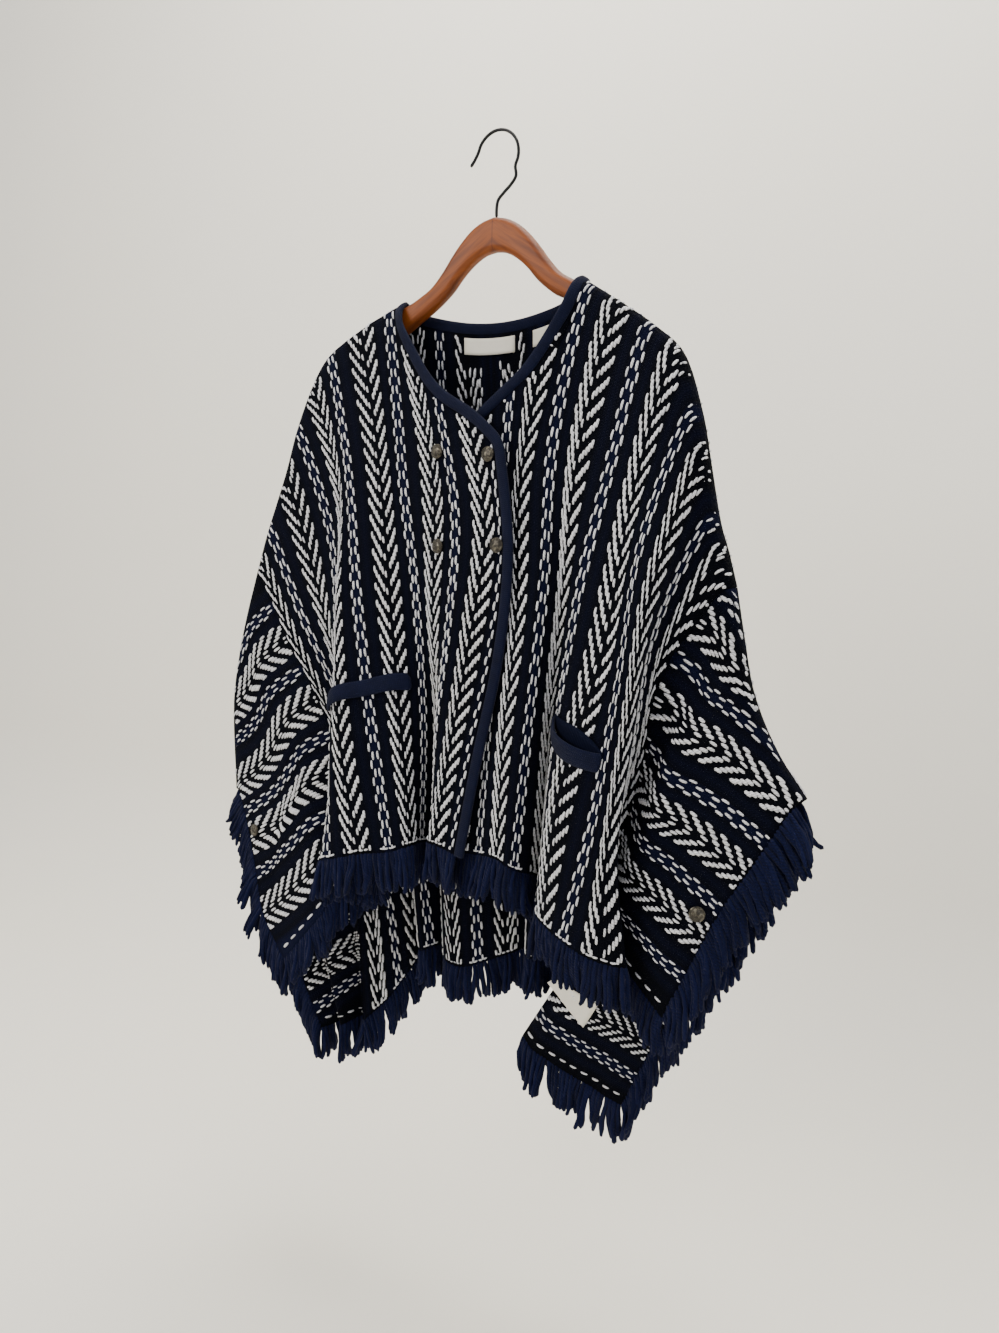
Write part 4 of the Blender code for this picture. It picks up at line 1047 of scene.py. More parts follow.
def fringe_piece(name, points, normals, inside, lean_start, lean_end, finish):
    """Twisted strands that hang from an edge, in two ranks that overlap."""
    out = edge_frame(points, normals, inside)
    steps = travel(points)
    roots = []
    for rank in (0, 1):
        first = 1.2 + rank * FRINGE_STEP / 2
        places = np.arange(first, steps[-1] - 1.0, FRINGE_STEP)
        roots.append(np.stack([places, np.full(len(places), rank)], axis=1))
    roots = np.concatenate(roots)
    count = len(roots)
    shifts = roots[:, 0] + random.uniform(-0.9, 0.9, count)
    place, normal, away = (read_along(shifts, steps, values) for values in (points, normals, out))
    normal, away = unit(normal), unit(away)
    share = (shifts / steps[-1])[:, None]
    edge = unit(np.cross(away, normal))
    lean = np.array(lean_start) * (1 - share) + np.array(lean_end) * share + away * 0.2 * (1 - share)
    # Neighbours lean together into tufts with gaps between their ends, a few strands stray.
    wander = 2.2 * np.sin(shifts / 19.0) + 1.4 * np.sin(shifts / 7.3 + 1.0)
    tuft = ((shifts + wander) / TUFT).astype(int)
    amount = tuft.max() + 1
    members = np.maximum(np.bincount(tuft, minlength=amount), 1)
    centre = (np.bincount(tuft, shifts, amount) / members)[tuft][:, None]
    gather = (centre - shifts[:, None]) * random.uniform(*GATHER, (amount, 1))[tuft]
    swing = random.normal(0, SWING, (amount, 1))[tuft]
    lift = random.normal(0, LIFT, (amount, 1))[tuft]
    stray = random.normal(0, STRAY, (count, 1)) * (1 + 3.0 * (random.random((count, 1)) > 0.93))
    lift = lift + random.normal(0, STRAY_LIFT, (count, 1))
    lean = unit(unit(lean) + edge * (stray + swing) + normal * lift)
    depth = (roots[:, 1:2] - 0.5) * RANK_DEPTH + random.uniform(-0.6, 0.6, (count, 1))
    length = FRINGE_LENGTH - 1.0 + random.uniform(-4.0, 3.0, (count, 1))
    length = length - random.uniform(0, 7.0, (amount, 1))[tuft]
    start = place - away * 1.5 + normal * depth * 0.3
    bend = place + away * 8 + lean * length * 0.26 + normal * (depth + random.normal(0, 1.4, (count, 1)))
    bend = bend + edge * random.normal(0, 2.4, (count, 1))
    end = place + lean * length + normal * depth + edge * gather
    pattern, faces = template(4, 8, STRAND_FULLNESS)
    t = ((pattern[:, 0] + 1) / 2)[None, :, None]
    centre = start[:, None] * (1 - t) ** 2 + 2 * bend[:, None] * t * (1 - t) + end[:, None] * t ** 2
    phase = random.uniform(0, 2 * np.pi, (count, 1, 1))
    centre = centre + edge[:, None] * WAVE_ALONG * t * np.sin(WAVE_TURN * t + phase)
    centre = centre + normal[:, None] * WAVE_OUT * t * np.cos(WAVE_TURN * t + phase)
    run = unit(2 * (1 - t) * (bend - start)[:, None] + 2 * t * (end - bend)[:, None])
    first = unit(np.cross(run, normal[:, None]))
    second = np.cross(run, first)
    turn = t[..., 0] * STRAND_TWIST + random.uniform(0, 6.28, (count, 1))
    wide, thin = pattern[None, :, 1] * STRAND_WIDE, pattern[None, :, 2] * STRAND_THIN
    size = random.uniform(0.86, 1.14, (count, 1)) * (0.92 + 0.16 * t[..., 0])
    a = (wide * np.cos(turn) - thin * np.sin(turn)) * size
    b = (wide * np.sin(turn) + thin * np.cos(turn)) * size
    places = centre + first * a[..., None] + second * b[..., None]
    around = np.arctan2(pattern[:, 2], pattern[:, 1]) / (2 * np.pi)
    uv = np.stack([np.tile(around, (count, 1)), t[0, :, 0][None, :] * length / 10], axis=2)
    node_names = [name.replace("strands_", "fringe_")]
    return copies(name, places, faces, random.random(count), uv, finish, node_names, "navy_yarn")


def tube(name, rings, finish, node_names, slot):
    """A closed band through rings of points: rings[station, side]. Its UV map is in centimetres."""
    builder = bmesh.new()
    layer = builder.loops.layers.uv.new("strand")
    loops = [[builder.verts.new(point) for point in ring] for ring in rings]
    lengths = travel(rings.mean(axis=1)) / 10
    sides = len(rings[0])
    around = travel(np.append(rings[0], rings[0][:1], axis=0)) / 10
    for index, (ring, following) in enumerate(zip(loops, loops[1:])):
        for side in range(sides):
            other = (side + 1) % sides
            face = builder.faces.new((ring[side], ring[other], following[other], following[side]))
            ring_at = ((side, index), (side + 1, index), (side + 1, index + 1), (side, index + 1))
            for loop, (u, v) in zip(face.loops, ring_at):
                loop[layer].uv = (around[u], lengths[v])
    builder.faces.new(loops[0])
    builder.faces.new(loops[-1][::-1])
    bmesh.ops.recalc_face_normals(builder, faces=builder.faces)
    return mesh_piece(name, builder, finish, node_names, slot)


def rounded(width, thickness, sides):
    """A rounded flat section: away from 0 to width, up from 0 to thickness."""
    angles = np.linspace(0, 2 * np.pi, sides, endpoint=False)
    c, s = np.cos(angles), np.sin(angles)
    away = np.sign(c) * np.abs(c) ** 0.75
    up = np.sign(s) * np.abs(s) ** 0.75
    return (away + 1) / 2 * width, (up + 1) / 2 * thickness


def eased(points, values):
    """Values along a route, read every 3 mm and averaged over 36 mm, so that its corners turn softly."""
    keys = travel(points)
    fine = np.linspace(0, keys[-1], int(keys[-1] / 3) + 1)
    read = read_along(fine, keys, values)
    weights = np.hanning(15)[1:-1]
    weights /= weights.sum()
    half = len(weights) // 2
    early = 2 * read[0] - read[half:0:-1]
    late = 2 * read[-1] - read[-2:-half - 2:-1]
    padded = np.concatenate([early, read, late])
    return np.stack([np.convolve(padded[:, axis], weights, "valid") for axis in range(3)], axis=1)


def edge_binding(name, sheet, route, beside, finish):
    """The tubular knitted binding along the outside of an edge."""
    points = np.array([sheet.grid[place] for place in route])
    normals = np.array([sheet.normals[place] for place in route])
    inside = np.array([sheet.grid[place] for place in beside])
    points, normals, inside = (eased(points, values) for values in (points, normals, inside))
    normals = unit(normals)
    out = edge_frame(points, normals, inside)
    away, up = rounded(BINDING_WIDTH + RIB_WIDER, BINDING_THICKNESS + RIB_THICKER, RIB_SIDES)
    rings = points[:, None] + out[:, None] * (away - RIB_LAP)[None, :, None]
    rings = rings + normals[:, None] * (up - WALL / 2 - RIB_SUNK)[None, :, None]
    return tube(name, rings, finish, [name.replace("rib_", "binding_")], "navy_rib")


def thin_sheet(name, columns, rows, point, thickness, cell, finish, node_names, slot):
    """A thin piece from a grid of points, by shares across and down. Its UV map has cells of one size."""
    builder = bmesh.new()
    layer = builder.loops.layers.uv.new("strand")
    verts = {(i, j): builder.verts.new(point(i / columns, j / rows))
             for i in range(columns + 1) for j in range(rows + 1)}
    for i in range(columns):
        for j in range(rows):
            ring = [(i, j), (i + 1, j), (i + 1, j + 1), (i, j + 1)]
            face = builder.faces.new([verts[place] for place in ring])
            for loop, (u, v) in zip(face.loops, ring):
                loop[layer].uv = (u * cell[0], v * cell[1])
    bmesh.ops.recalc_face_normals(builder, faces=builder.faces)
    bmesh.ops.solidify(builder, geom=builder.faces[:], thickness=thickness)
    bmesh.ops.recalc_face_normals(builder, faces=builder.faces)
    return mesh_piece(name, builder, finish, node_names, slot)


def on_panel(sheet, across, down):
    """A point of a panel by hang line and the plain part's share of the way down."""
    row = down * (len(FIRST_ROWS) - 1 + PLAIN_ROWS_BELOW)
    turn = len(FIRST_ROWS) - 1
    if row > turn:
        row = turn + (row - turn) * ROWS_BELOW / PLAIN_ROWS_BELOW
    return sheet.at(across, row / (len(sheet.grid[0]) - 1))


def welt(piece, sheet, finish):
    """A pocket's knitted welt, a soft tube from one side of the mouth to the other."""
    count = 26
    away, down = rounded(1.0, 1.0, RIB_SIDES)
    rings = []
    for index in range(count + 1):
        share = index / count
        across = piece.start + (piece.end - piece.start) * share
        top = piece.down_start + (piece.down_end - piece.down_start) * share
        lift = piece.gape * np.sin(np.pi * share)
        top += GAPE_SAG * lift
        full = 1.0 if 0 < index < count else WELT_END
        ring = []
        for a, d in zip(away, down):
            place, normal = on_panel(sheet, across, top + piece.height * (0.5 + (d - 0.5) * full))
            out = WALL / 2 + WELT_LIFT + lift * (1 - d)
            out += (0.5 + (a - 0.5) * full) * (WELT_THICKNESS + WELT_THICKER)
            ring.append(place + normal * out)
        rings.append(ring)
    return tube(piece.name.replace("pocket_", "rib_"), np.array(rings), finish, [piece.name], "navy_rib")


def pocket_lining(piece, sheet, finish):
    """The dark inside of a pocket that gapes: from the mouth's straight edge down behind its welt."""
    def point(u, v):
        bow = np.sin(np.pi * u)
        mouth = piece.down_start + (piece.down_end - piece.down_start) * u - 0.004 * bow
        deep = GAPE_SAG * piece.gape * bow + piece.height * 0.4
        place, normal = on_panel(sheet, piece.start + (piece.end - piece.start) * u, mouth + deep * v)
        return place + normal * (WALL / 2 + 2.6 - 1.2 * bow * v)

    name = piece.name.replace("pocket_welt", "pocket_lining")
    return thin_sheet(name, 20, 3, point, 0.8, (0.35, 0.5), finish, [], "navy_rib")


def flat_label(piece, sheet, finish):
    """A label sewn to the inside of the back, where its lower edge stands a little off."""
    def point(u, v):
        place, normal = on_panel(sheet, piece.start + (piece.end - piece.start) * u,
                                 piece.down_start + piece.height * v)
        slack = 1.6 * np.sin(np.pi * u) * v ** 2
        return place - normal * (WALL / 2 + SURFACE_GAP + 0.4 + slack)

    name = piece.name.replace("label_", "tape_")
    return thin_sheet(name, 14, 5, point, 0.6, (0.45, 0.35), finish, [piece.name], "label_tape")


def care_label(finish):
    """The long label inside the side, bent by its own weight."""
    corners = np.array(CARE_LABEL, float)
    square = unit(np.cross(corners[1] - corners[0], corners[3] - corners[0]))

    def point(u, v):
        top = corners[0] * (1 - u) + corners[1] * u
        foot = corners[3] * (1 - u) + corners[2] * u
        wave = 1.2 * np.sin(np.pi * u) * v + 0.8 * np.sin(2.4 * np.pi * v) * v
        return top * (1 - v) + foot * v + square * wave

    return thin_sheet("tape_care", 10, 10, point, 0.5, (0.4, 0.4), finish, ["label_care"], "label_tape")


def button_piece(spot, sheet, finish):
    """A domed button: a turned rim with a groove, and a facetted crown."""
    place, normal = on_panel(sheet, spot.across, spot.down)
    aside = unit(np.cross(normal, (0, 0, 1)))
    up = np.cross(aside, normal)
    seat = place + normal * (WALL / 2 + 0.8)
    turned = bmesh.new()
    rim = ((0.0, 0.0), (0.55, 0.0), (0.86, 0.5), (1.0, 1.3), (0.99, 2.3), (0.88, 2.9), (0.80, 2.6))
    chain = [turned.verts.new((radius * BUTTON_RADIUS, 0, height)) for radius, height in rim]
    for one, other in zip(chain, chain[1:]):
        turned.edges.new((one, other))
    bmesh.ops.spin(turned, geom=turned.verts[:] + turned.edges[:], cent=(0, 0, 0), axis=(0, 0, 1),
                   angle=2 * np.pi, steps=32, use_merge=True)
    bmesh.ops.remove_doubles(turned, verts=turned.verts, dist=0.001)
    crown = bmesh.ops.create_uvsphere(turned, u_segments=9, v_segments=8, radius=1.0)["verts"]
    crown_radius = BUTTON_RADIUS * 0.86
    bmesh.ops.scale(turned, vec=(crown_radius, crown_radius, BUTTON_HEIGHT - 1.6), verts=crown)
    bmesh.ops.translate(turned, vec=(0, 0, 1.9), verts=crown)
    bmesh.ops.recalc_face_normals(turned, faces=turned.faces)
    turn = Matrix((aside, up, normal)).transposed().to_4x4()
    bmesh.ops.transform(turned, matrix=Matrix.Translation(seat) @ turn, verts=turned.verts)
    return mesh_piece("domed_" + spot.name, turned, finish, [spot.name], "dark_button", False)


def wooden_hanger(finish):
    """The shaped wooden bar: its outline pulled out to its thickness and rounded off."""
    outline = []
    for side, seam, end in ((1, SHOULDER_RIGHT, WOOD_ENDS[0]), (-1, SHOULDER_LEFT, WOOD_ENDS[1])):
        shoulder = Side(None, seam, None, 0)
        tops, lows = [], []
        for across in np.linspace(128, end, 5):
            place, outward = shoulder.seam_place(across)
            top = place - outward * WOOD_DROP
            low = top - outward * (WOOD_DEPTH if across < end else WOOD_DEPTH / 2)
            tops.append((top[0], top[2]))
            lows.append((low[0], low[2]))
        upper = np.array([(side * x, z) for x, z in WOOD_TOP] + tops)
        under = np.array(lows[::-1] + [(side * x, z) for x, z in WOOD_UNDER])
        half = []
        for line in (upper, under):
            keys = travel(line)
            fine = np.arange(0, keys[-1], 6.0)
            half += [tuple(smooth(keys, line, key)) for key in fine] + [tuple(line[-1])]
        outline.append(half)
    right, left = outline
    points = right + left[1:-1][::-1]
    builder = bmesh.new()
    half_width = WOOD_THICKNESS / 2
    verts = [builder.verts.new((x, -half_width, z)) for x, z in points]
    face = builder.faces.new(verts)
    pulled = bmesh.ops.extrude_face_region(builder, geom=[face])
    moved = [item for item in pulled["geom"] if isinstance(item, bmesh.types.BMVert)]
    bmesh.ops.translate(builder, verts=moved, vec=(0, WOOD_THICKNESS, 0))
    rims = [edge for edge in builder.edges if abs(edge.verts[0].co.y - edge.verts[1].co.y) < 0.01]
    bmesh.ops.bevel(builder, geom=rims, offset=WOOD_ROUNDING, segments=5, profile=0.5, affect="EDGES",
                    material=-1)
    bmesh.ops.recalc_face_normals(builder, faces=builder.faces)
    return mesh_piece("hanger_bar", builder, finish, ["hanger_wood"], "cherry_wood")


def wire_hook(finish):
    """The wire hook: a stem, a bend to the side and an open loop."""
    start = [(0, -83.1), (0, -74), (1.5, -67), (8, -60.5), (16, -54), (21.5, -47)]
    turn = [(HOOK_RADIUS * np.cos(a), -HOOK_RADIUS + HOOK_RADIUS * np.sin(a))
            for a in np.radians(np.arange(-30, 166, 15))]
    route = np.array(start + turn + [(-27, -24), (-32, -30)])
    keys = travel(route)
    fine = np.array([smooth(keys, route, key) for key in np.linspace(0, keys[-1], 110)])
    along = unit(np.gradient(fine, axis=0))
    angles = np.linspace(0, 2 * np.pi, 12, endpoint=False)
    rings = []
    for index, ((x, z), (run_x, run_z)) in enumerate(zip(fine, along)):
        radius = WIRE_RADIUS * (0.6 if index in (0, len(fine) - 1) else 1.0)
        aside = np.array([-run_z, 0, run_x])
        centre = np.array([x, 0, z + WIRE_RADIUS])
        out = np.array([0, 1, 0])
        rings.append([centre + (aside * np.cos(a) + out * np.sin(a)) * radius for a in angles])
    return tube("hook_wire", np.array(rings), finish, ["hanger_hook"], "black_wire")


def hexed(code):
    """An sRGB hex colour as the linear values of a socket."""
    parts = [int(code[index:index + 2], 16) / 255 for index in (1, 3, 5)]
    linear = [part / 12.92 if part <= 0.04045 else ((part + 0.055) / 1.055) ** 2.4 for part in parts]
    return (*linear, 1.0)


def fill(tree, made, inputs):
    """Sets a node's inputs, by name or in order. A socket is linked, and so is a node's first output."""
    for key, value in inputs.items() if isinstance(inputs, dict) else enumerate(inputs):
        if isinstance(value, bpy.types.Node):
            value = value.outputs[0]
        if isinstance(value, bpy.types.NodeSocket):
            tree.links.new(value, made.inputs[key])
        else:
            made.inputs[key].default_value = value


def node(tree, kind, inputs=(), stops=(), **settings):
    """Adds a node, sets its own properties and a ramp's colour stops, and sets or links its inputs."""
    made = tree.nodes.new("ShaderNode" + kind)
    for key, value in settings.items():
        setattr(made, key, value)
    if stops:
        bar = made.color_ramp.elements
        while len(bar) < len(stops):
            bar.new(0.5)
        for element, (place, code) in zip(bar, stops):
            element.position = place
            element.color = hexed(code)
    fill(tree, made, inputs)
    return made


def finish_named(name):
    """An empty material with its node tree and its shader, and the place in the object's own space."""
    made = bpy.data.materials.new(name)
    made.use_nodes = True
    tree = made.node_tree
    return made, tree, tree.nodes["Principled BSDF"], node(tree, "TexCoord").outputs["Object"]


def knit_ground():
    """Thick wool knit, black and navy by turns: matt, soft, with small V loops in upright wales, and
    painted shade in the grooves between them.
    """
    made, tree, shader, spot = finish_named("wool_knit_ground")
    weave = node(tree, "SeparateXYZ", [node(tree, "UVMap", uv_map="weave")])
    off, along = weave.outputs["X"], weave.outputs["Y"]
    repeats = node(tree, "Math", [off, REPEAT * MM], operation="DIVIDE")
    # Twenty repeats more, so that no place is below zero.
    raised = node(tree, "Math", [repeats, 20.0], operation="ADD")
    phase = node(tree, "Math", [raised], operation="FRACT")
    # Navy inside the chain and in the bands beside it, black under the herringbone.
    base = node(tree, "ValToRGB", [phase], [
        (0.0, "#0f1430"), (0.055, "#0c1029"), (0.10, "#06070f"), (0.20, "#090c1e"), (0.30, "#040509"),
        (0.70, "#040509"), (0.80, "#090c1e"), (0.90, "#06070f"), (0.945, "#0c1029"), (1.0, "#0f1430")])
    patchy = node(tree, "TexNoise", {"Vector": spot, "Scale": 120.0, "Detail": 4.0, "Roughness": 0.7})
    share = node(tree, "Math", [patchy, 0.5], operation="MULTIPLY")
    uneven = node(tree, "Mix", {MIX_SHARE: share, MIX_A: base, MIX_B: hexed("#0a0d1b")}, data_type="RGBA")
    # One loop is 3.4 mm wide and 3 mm high: two slanted legs that meet in a V.
    wale = node(tree, "Math", [off, 0.0017], operation="PINGPONG")
    aside = node(tree, "Math", [wale, 1.3], operation="MULTIPLY")
    slant = node(tree, "Math", [aside, along], operation="ADD")
    turns = node(tree, "Math", [slant, 2 * np.pi / 0.003], operation="MULTIPLY")
    legs = node(tree, "Math", [turns], operation="SINE")
    across = node(tree, "Math", [wale, np.pi / 0.0017], operation="MULTIPLY")
    groove = node(tree, "Math", [across], operation="SINE")
    loops = node(tree, "Math", [legs, 0.35, 0.5], operation="MULTIPLY_ADD")
    full = node(tree, "Math", [groove, 0.45], operation="ADD")
    relief = node(tree, "Math", [loops, full], operation="MULTIPLY")
    fibres = node(tree, "TexNoise", {"Vector": spot, "Scale": 1400.0, "Detail": 5.0, "Roughness": 0.65})
    fuzz = node(tree, "Math", [fibres, 0.5], operation="MULTIPLY")
    height = node(tree, "Math", [relief, fuzz], operation="ADD")
    # Painted shade: where the loops' relief is low, in the grooves between them, the colour is darkened
    # towards near-black.
    painted_groove_shade = node(tree, "Math", [0.9, relief], operation="SUBTRACT")
    depth = node(tree, "Math", [painted_groove_shade, 0.45], operation="MULTIPLY")
    shade = node(tree, "Mix", {MIX_SHARE: depth, MIX_A: uneven.outputs[MIXED], MIX_B: hexed("#010204")},
                 data_type="RGBA")
    bump = node(tree, "Bump", {"Height": height, "Strength": 0.85, "Distance": 0.0013})
    fill(tree, shader, {"Base Color": shade.outputs[MIXED], "Normal": bump, "Roughness": 0.95,
                        "Specular IOR Level": 0.06})
    return made


def yarn(name, light, dark, tone_spread, plies, gloss):
    """Plied wool yarn: its plies wind round it, with painted light on their crowns and painted shade
    between them; each strand is a little lighter or darker.
    """
    made, tree, shader, spot = finish_named(name)
    strand = node(tree, "SeparateXYZ", [node(tree, "UVMap", uv_map="strand")])
    tone = node(tree, "Attribute", attribute_name="tone").outputs["Fac"]
    around = node(tree, "Math", [strand.outputs["X"], plies], operation="MULTIPLY")
    # The map is in centimetres: 3.4 plies pass in each.
    along = node(tree, "Math", [strand.outputs["Y"], 3.4], operation="MULTIPLY")
    wound = node(tree, "Math", [around, along], operation="ADD")
    turns = node(tree, "Math", [wound, np.pi], operation="MULTIPLY")
    swell = node(tree, "Math", [node(tree, "Math", [turns], operation="SINE")], operation="ABSOLUTE")
    ply = node(tree, "Math", [swell, 0.6], operation="POWER")
    fibres = node(tree, "TexNoise", {"Vector": spot, "Scale": 1900.0, "Detail": 5.0, "Roughness": 0.7})
    # Painted light and shade: the plies' crowns are painted lighter, the grooves between them darker.
    painted_ply_light = node(tree, "Math", [ply, 0.5], operation="MULTIPLY")
    flecks = node(tree, "Math", [fibres, 0.45], operation="MULTIPLY")
    own = node(tree, "Math", [tone, tone_spread], operation="MULTIPLY")
    share = node(tree, "Math", [node(tree, "Math", [painted_ply_light, flecks], operation="ADD"), own], operation="ADD")
    shade = node(tree, "Mix", {MIX_SHARE: share, MIX_A: hexed(dark), MIX_B: hexed(light)}, data_type="RGBA")
    fuzz = node(tree, "Math", [fibres, 0.8], operation="MULTIPLY")
    height = node(tree, "Math", [ply, fuzz], operation="ADD")
    bump = node(tree, "Bump", {"Height": height, "Strength": 0.8, "Distance": 0.0006})
    fill(tree, shader, {"Base Color": shade.outputs[MIXED], "Normal": bump, "Roughness": 0.92,
                        "Specular IOR Level": gloss, "Sheen Weight": gloss * 0.5, "Sheen Roughness": 0.55})
    return made


def knit_binding():
    """Fine plain-knit wool tape rolled to a tube: navy, matt, with small loops in rows, painted lighter
    where they rise and darker between them as shade.
    """
    made, tree, shader, spot = finish_named("wool_knit_binding")
    strand = node(tree, "SeparateXYZ", [node(tree, "UVMap", uv_map="strand")])
    # The map is in centimetres: a loop is 2.4 mm across and 2 mm along.
    wale = node(tree, "Math", [strand.outputs["X"], 0.12], operation="PINGPONG")
    aside = node(tree, "Math", [wale, 1.1], operation="MULTIPLY")
    slant = node(tree, "Math", [aside, strand.outputs["Y"]], operation="ADD")
    turns = node(tree, "Math", [slant, 2 * np.pi / 0.2], operation="MULTIPLY")
    legs = node(tree, "Math", [node(tree, "Math", [turns], operation="SINE"), 0.3], operation="MULTIPLY")
    across = node(tree, "Math", [wale, np.pi / 0.12], operation="MULTIPLY")
    groove = node(tree, "Math", [node(tree, "Math", [across], operation="SINE"), 0.5], operation="MULTIPLY")
    relief = node(tree, "Math", [legs, groove], operation="ADD")
    patchy = node(tree, "TexNoise", {"Vector": spot, "Scale": 90.0, "Detail": 3.0, "Roughness": 0.6})
    fibres = node(tree, "TexNoise", {"Vector": spot, "Scale": 1600.0, "Detail": 5.0, "Roughness": 0.7})
    patches = node(tree, "Math", [patchy, 0.6], operation="MULTIPLY")
    # Painted light and shade: the raised loops are painted lighter, the grooves between them darker.
    raised = node(tree, "Math", [relief, 0.4], operation="MULTIPLY")
    share = node(tree, "Math", [patches, raised], operation="ADD")
    shade = node(tree, "Mix", {MIX_SHARE: share, MIX_A: hexed("#060919"), MIX_B: hexed("#111733")},
                 data_type="RGBA")
    fuzz = node(tree, "Math", [fibres, 0.7], operation="MULTIPLY")
    height = node(tree, "Math", [relief, fuzz], operation="ADD")
    bump = node(tree, "Bump", {"Height": height, "Strength": 0.7, "Distance": 0.0008})
    fill(tree, shader, {"Base Color": shade.outputs[MIXED], "Normal": bump, "Roughness": 0.95,
                        "Specular IOR Level": 0.1, "Sheen Weight": 0.03, "Sheen Roughness": 0.5})
    return made


def dark_lining():
    """Navy wool jersey inside the pockets: almost black, matt, with faint rows."""
    made, tree, shader, spot = finish_named("wool_jersey_lining")
    strand = node(tree, "SeparateXYZ", [node(tree, "UVMap", uv_map="strand")])
    # The map is in centimetres: rows are 1.6 mm apart.
    turns = node(tree, "Math", [strand.outputs["X"], 2 * np.pi / 0.16], operation="MULTIPLY")
    rows = node(tree, "Math", [turns], operation="SINE")
    fibres = node(tree, "TexNoise", {"Vector": spot, "Scale": 1500.0, "Detail": 4.0})
    shade = node(tree, "Mix", {MIX_SHARE: fibres, MIX_A: hexed("#02040c"), MIX_B: hexed("#0a0f26")},
                 data_type="RGBA")
    height = node(tree, "Math", [rows, fibres], operation="ADD")
    bump = node(tree, "Bump", {"Height": height, "Strength": 0.5, "Distance": 0.0004})
    fill(tree, shader, {"Base Color": shade.outputs[MIXED], "Normal": bump, "Roughness": 0.95,
                        "Specular IOR Level": 0.08})
    return made


def stained_cherry():
    """Cherry wood, stained and varnished: warm red brown, grain along each arm, a joint in the middle."""
    made, tree, shader, spot = finish_named("stained_cherry")
    parts = node(tree, "SeparateXYZ", [spot]).outputs
    aside = node(tree, "Math", [parts["X"]], operation="ABSOLUTE")
    mirrored = node(tree, "CombineXYZ", [aside, parts["Y"], parts["Z"]])
    # The arm falls away at about 32 degrees. Rings are drawn 1.6 mm apart, pores under 1 mm.
    turned = node(tree, "Mapping", {"Vector": mirrored, "Rotation": (0, -0.56, 0)})
    long = node(tree, "Mapping", {"Vector": turned, "Scale": (7.0, 90.0, 90.0)})
    figure = node(tree, "TexNoise", {"Vector": long, "Scale": 1.6, "Detail": 4.0, "Roughness": 0.55})
    fine = node(tree, "Mapping", {"Vector": turned, "Scale": (60.0, 900.0, 900.0)})
    pores = node(tree, "TexNoise", {"Vector": fine, "Scale": 1.0, "Detail": 3.0})
    grain = node(tree, "ValToRGB", [figure], [(0.28, "#522405"), (0.45, "#74380b"), (0.58, "#8a4610"),
                                              (0.75, "#5e2b08")])
    specks = node(tree, "Math", [pores, 0.35], operation="MULTIPLY")
    wood = node(tree, "Mix", {MIX_SHARE: specks, MIX_A: grain, MIX_B: hexed("#4a1d08")}, data_type="RGBA")
    joint = node(tree, "Math", [aside, 0.0005], operation="LESS_THAN")
    seen = node(tree, "Math", [joint, 0.7], operation="MULTIPLY")
    shade = node(tree, "Mix", {MIX_SHARE: seen, MIX_A: wood.outputs[MIXED], MIX_B: hexed("#4a2010")},
                 data_type="RGBA")
    bump = node(tree, "Bump", {"Height": pores, "Strength": 0.12, "Distance": 0.0004})
    rough = node(tree, "MapRange", {"Value": figure, "To Min": 0.42, "To Max": 0.55})
    fill(tree, shader, {"Base Color": shade.outputs[MIXED], "Normal": bump, "Roughness": rough,
                        "Specular IOR Level": 0.26, "Coat Weight": 0.05, "Coat Roughness": 0.3})
    return made


def painted_wire():
    """Steel wire under thin black lacquer: dark, half glossy, with faint scuffs."""
    made, tree, shader, spot = finish_named("black_lacquered_wire")
    scuffs = node(tree, "TexNoise", {"Vector": spot, "Scale": 420.0, "Detail": 5.0, "Roughness": 0.7})
    shade = node(tree, "ValToRGB", [scuffs], [(0.35, "#0b0b0d"), (0.62, "#17171a"), (0.78, "#3a3a3c")])
    rough = node(tree, "MapRange", {"Value": scuffs, "To Min": 0.25, "To Max": 0.55})
    fill(tree, shader, {"Base Color": shade, "Roughness": rough, "Metallic": 0.6})
    return made


def antique_button():
    """Cast button with an aged brass finish: dark olive brown, lighter where it is rubbed."""
    made, tree, shader, spot = finish_named("aged_brass_button")
    age = node(tree, "TexNoise", {"Vector": spot, "Scale": 380.0, "Detail": 5.0, "Roughness": 0.65})
    shade = node(tree, "ValToRGB", [age], [(0.30, "#191613"), (0.50, "#3a352c"), (0.72, "#7d7767")])
    rough = node(tree, "MapRange", {"Value": age, "To Min": 0.5, "To Max": 0.25})
    bump = node(tree, "Bump", {"Height": age, "Strength": 0.35, "Distance": 0.0006})
    fill(tree, shader, {"Base Color": shade, "Normal": bump, "Roughness": rough, "Metallic": 0.5})
    return made


def label_satin():
    """Woven label tape: off-white, fine ribs, a little sheen."""
    made, tree, shader, spot = finish_named("woven_label_tape")
    strand = node(tree, "SeparateXYZ", [node(tree, "UVMap", uv_map="strand")])
    # Ribs are drawn 0.8 mm apart, coarser than the real weave, so that they show.
    along = node(tree, "Math", [strand.outputs["Y"], 2 * np.pi / 0.08], operation="MULTIPLY")
    across = node(tree, "Math", [strand.outputs["X"], 2 * np.pi / 0.06], operation="MULTIPLY")
    ribs = node(tree, "Math", [along], operation="SINE")
    height = node(tree, "Math", [ribs, node(tree, "Math", [across], operation="SINE")], operation="ADD")
    soil = node(tree, "TexNoise", {"Vector": spot, "Scale": 110.0, "Detail": 3.0})
    share = node(tree, "Math", [soil, 0.5], operation="MULTIPLY")
    shade = node(tree, "Mix", {MIX_SHARE: share, MIX_A: hexed("#e6e1d3"), MIX_B: hexed("#cfc8b6")},
                 data_type="RGBA")
    bump = node(tree, "Bump", {"Height": height, "Strength": 0.25, "Distance": 0.0002})
    fill(tree, shader, {"Base Color": shade.outputs[MIXED], "Normal": bump, "Roughness": 0.6,
                        "Sheen Weight": 0.2})
    return made


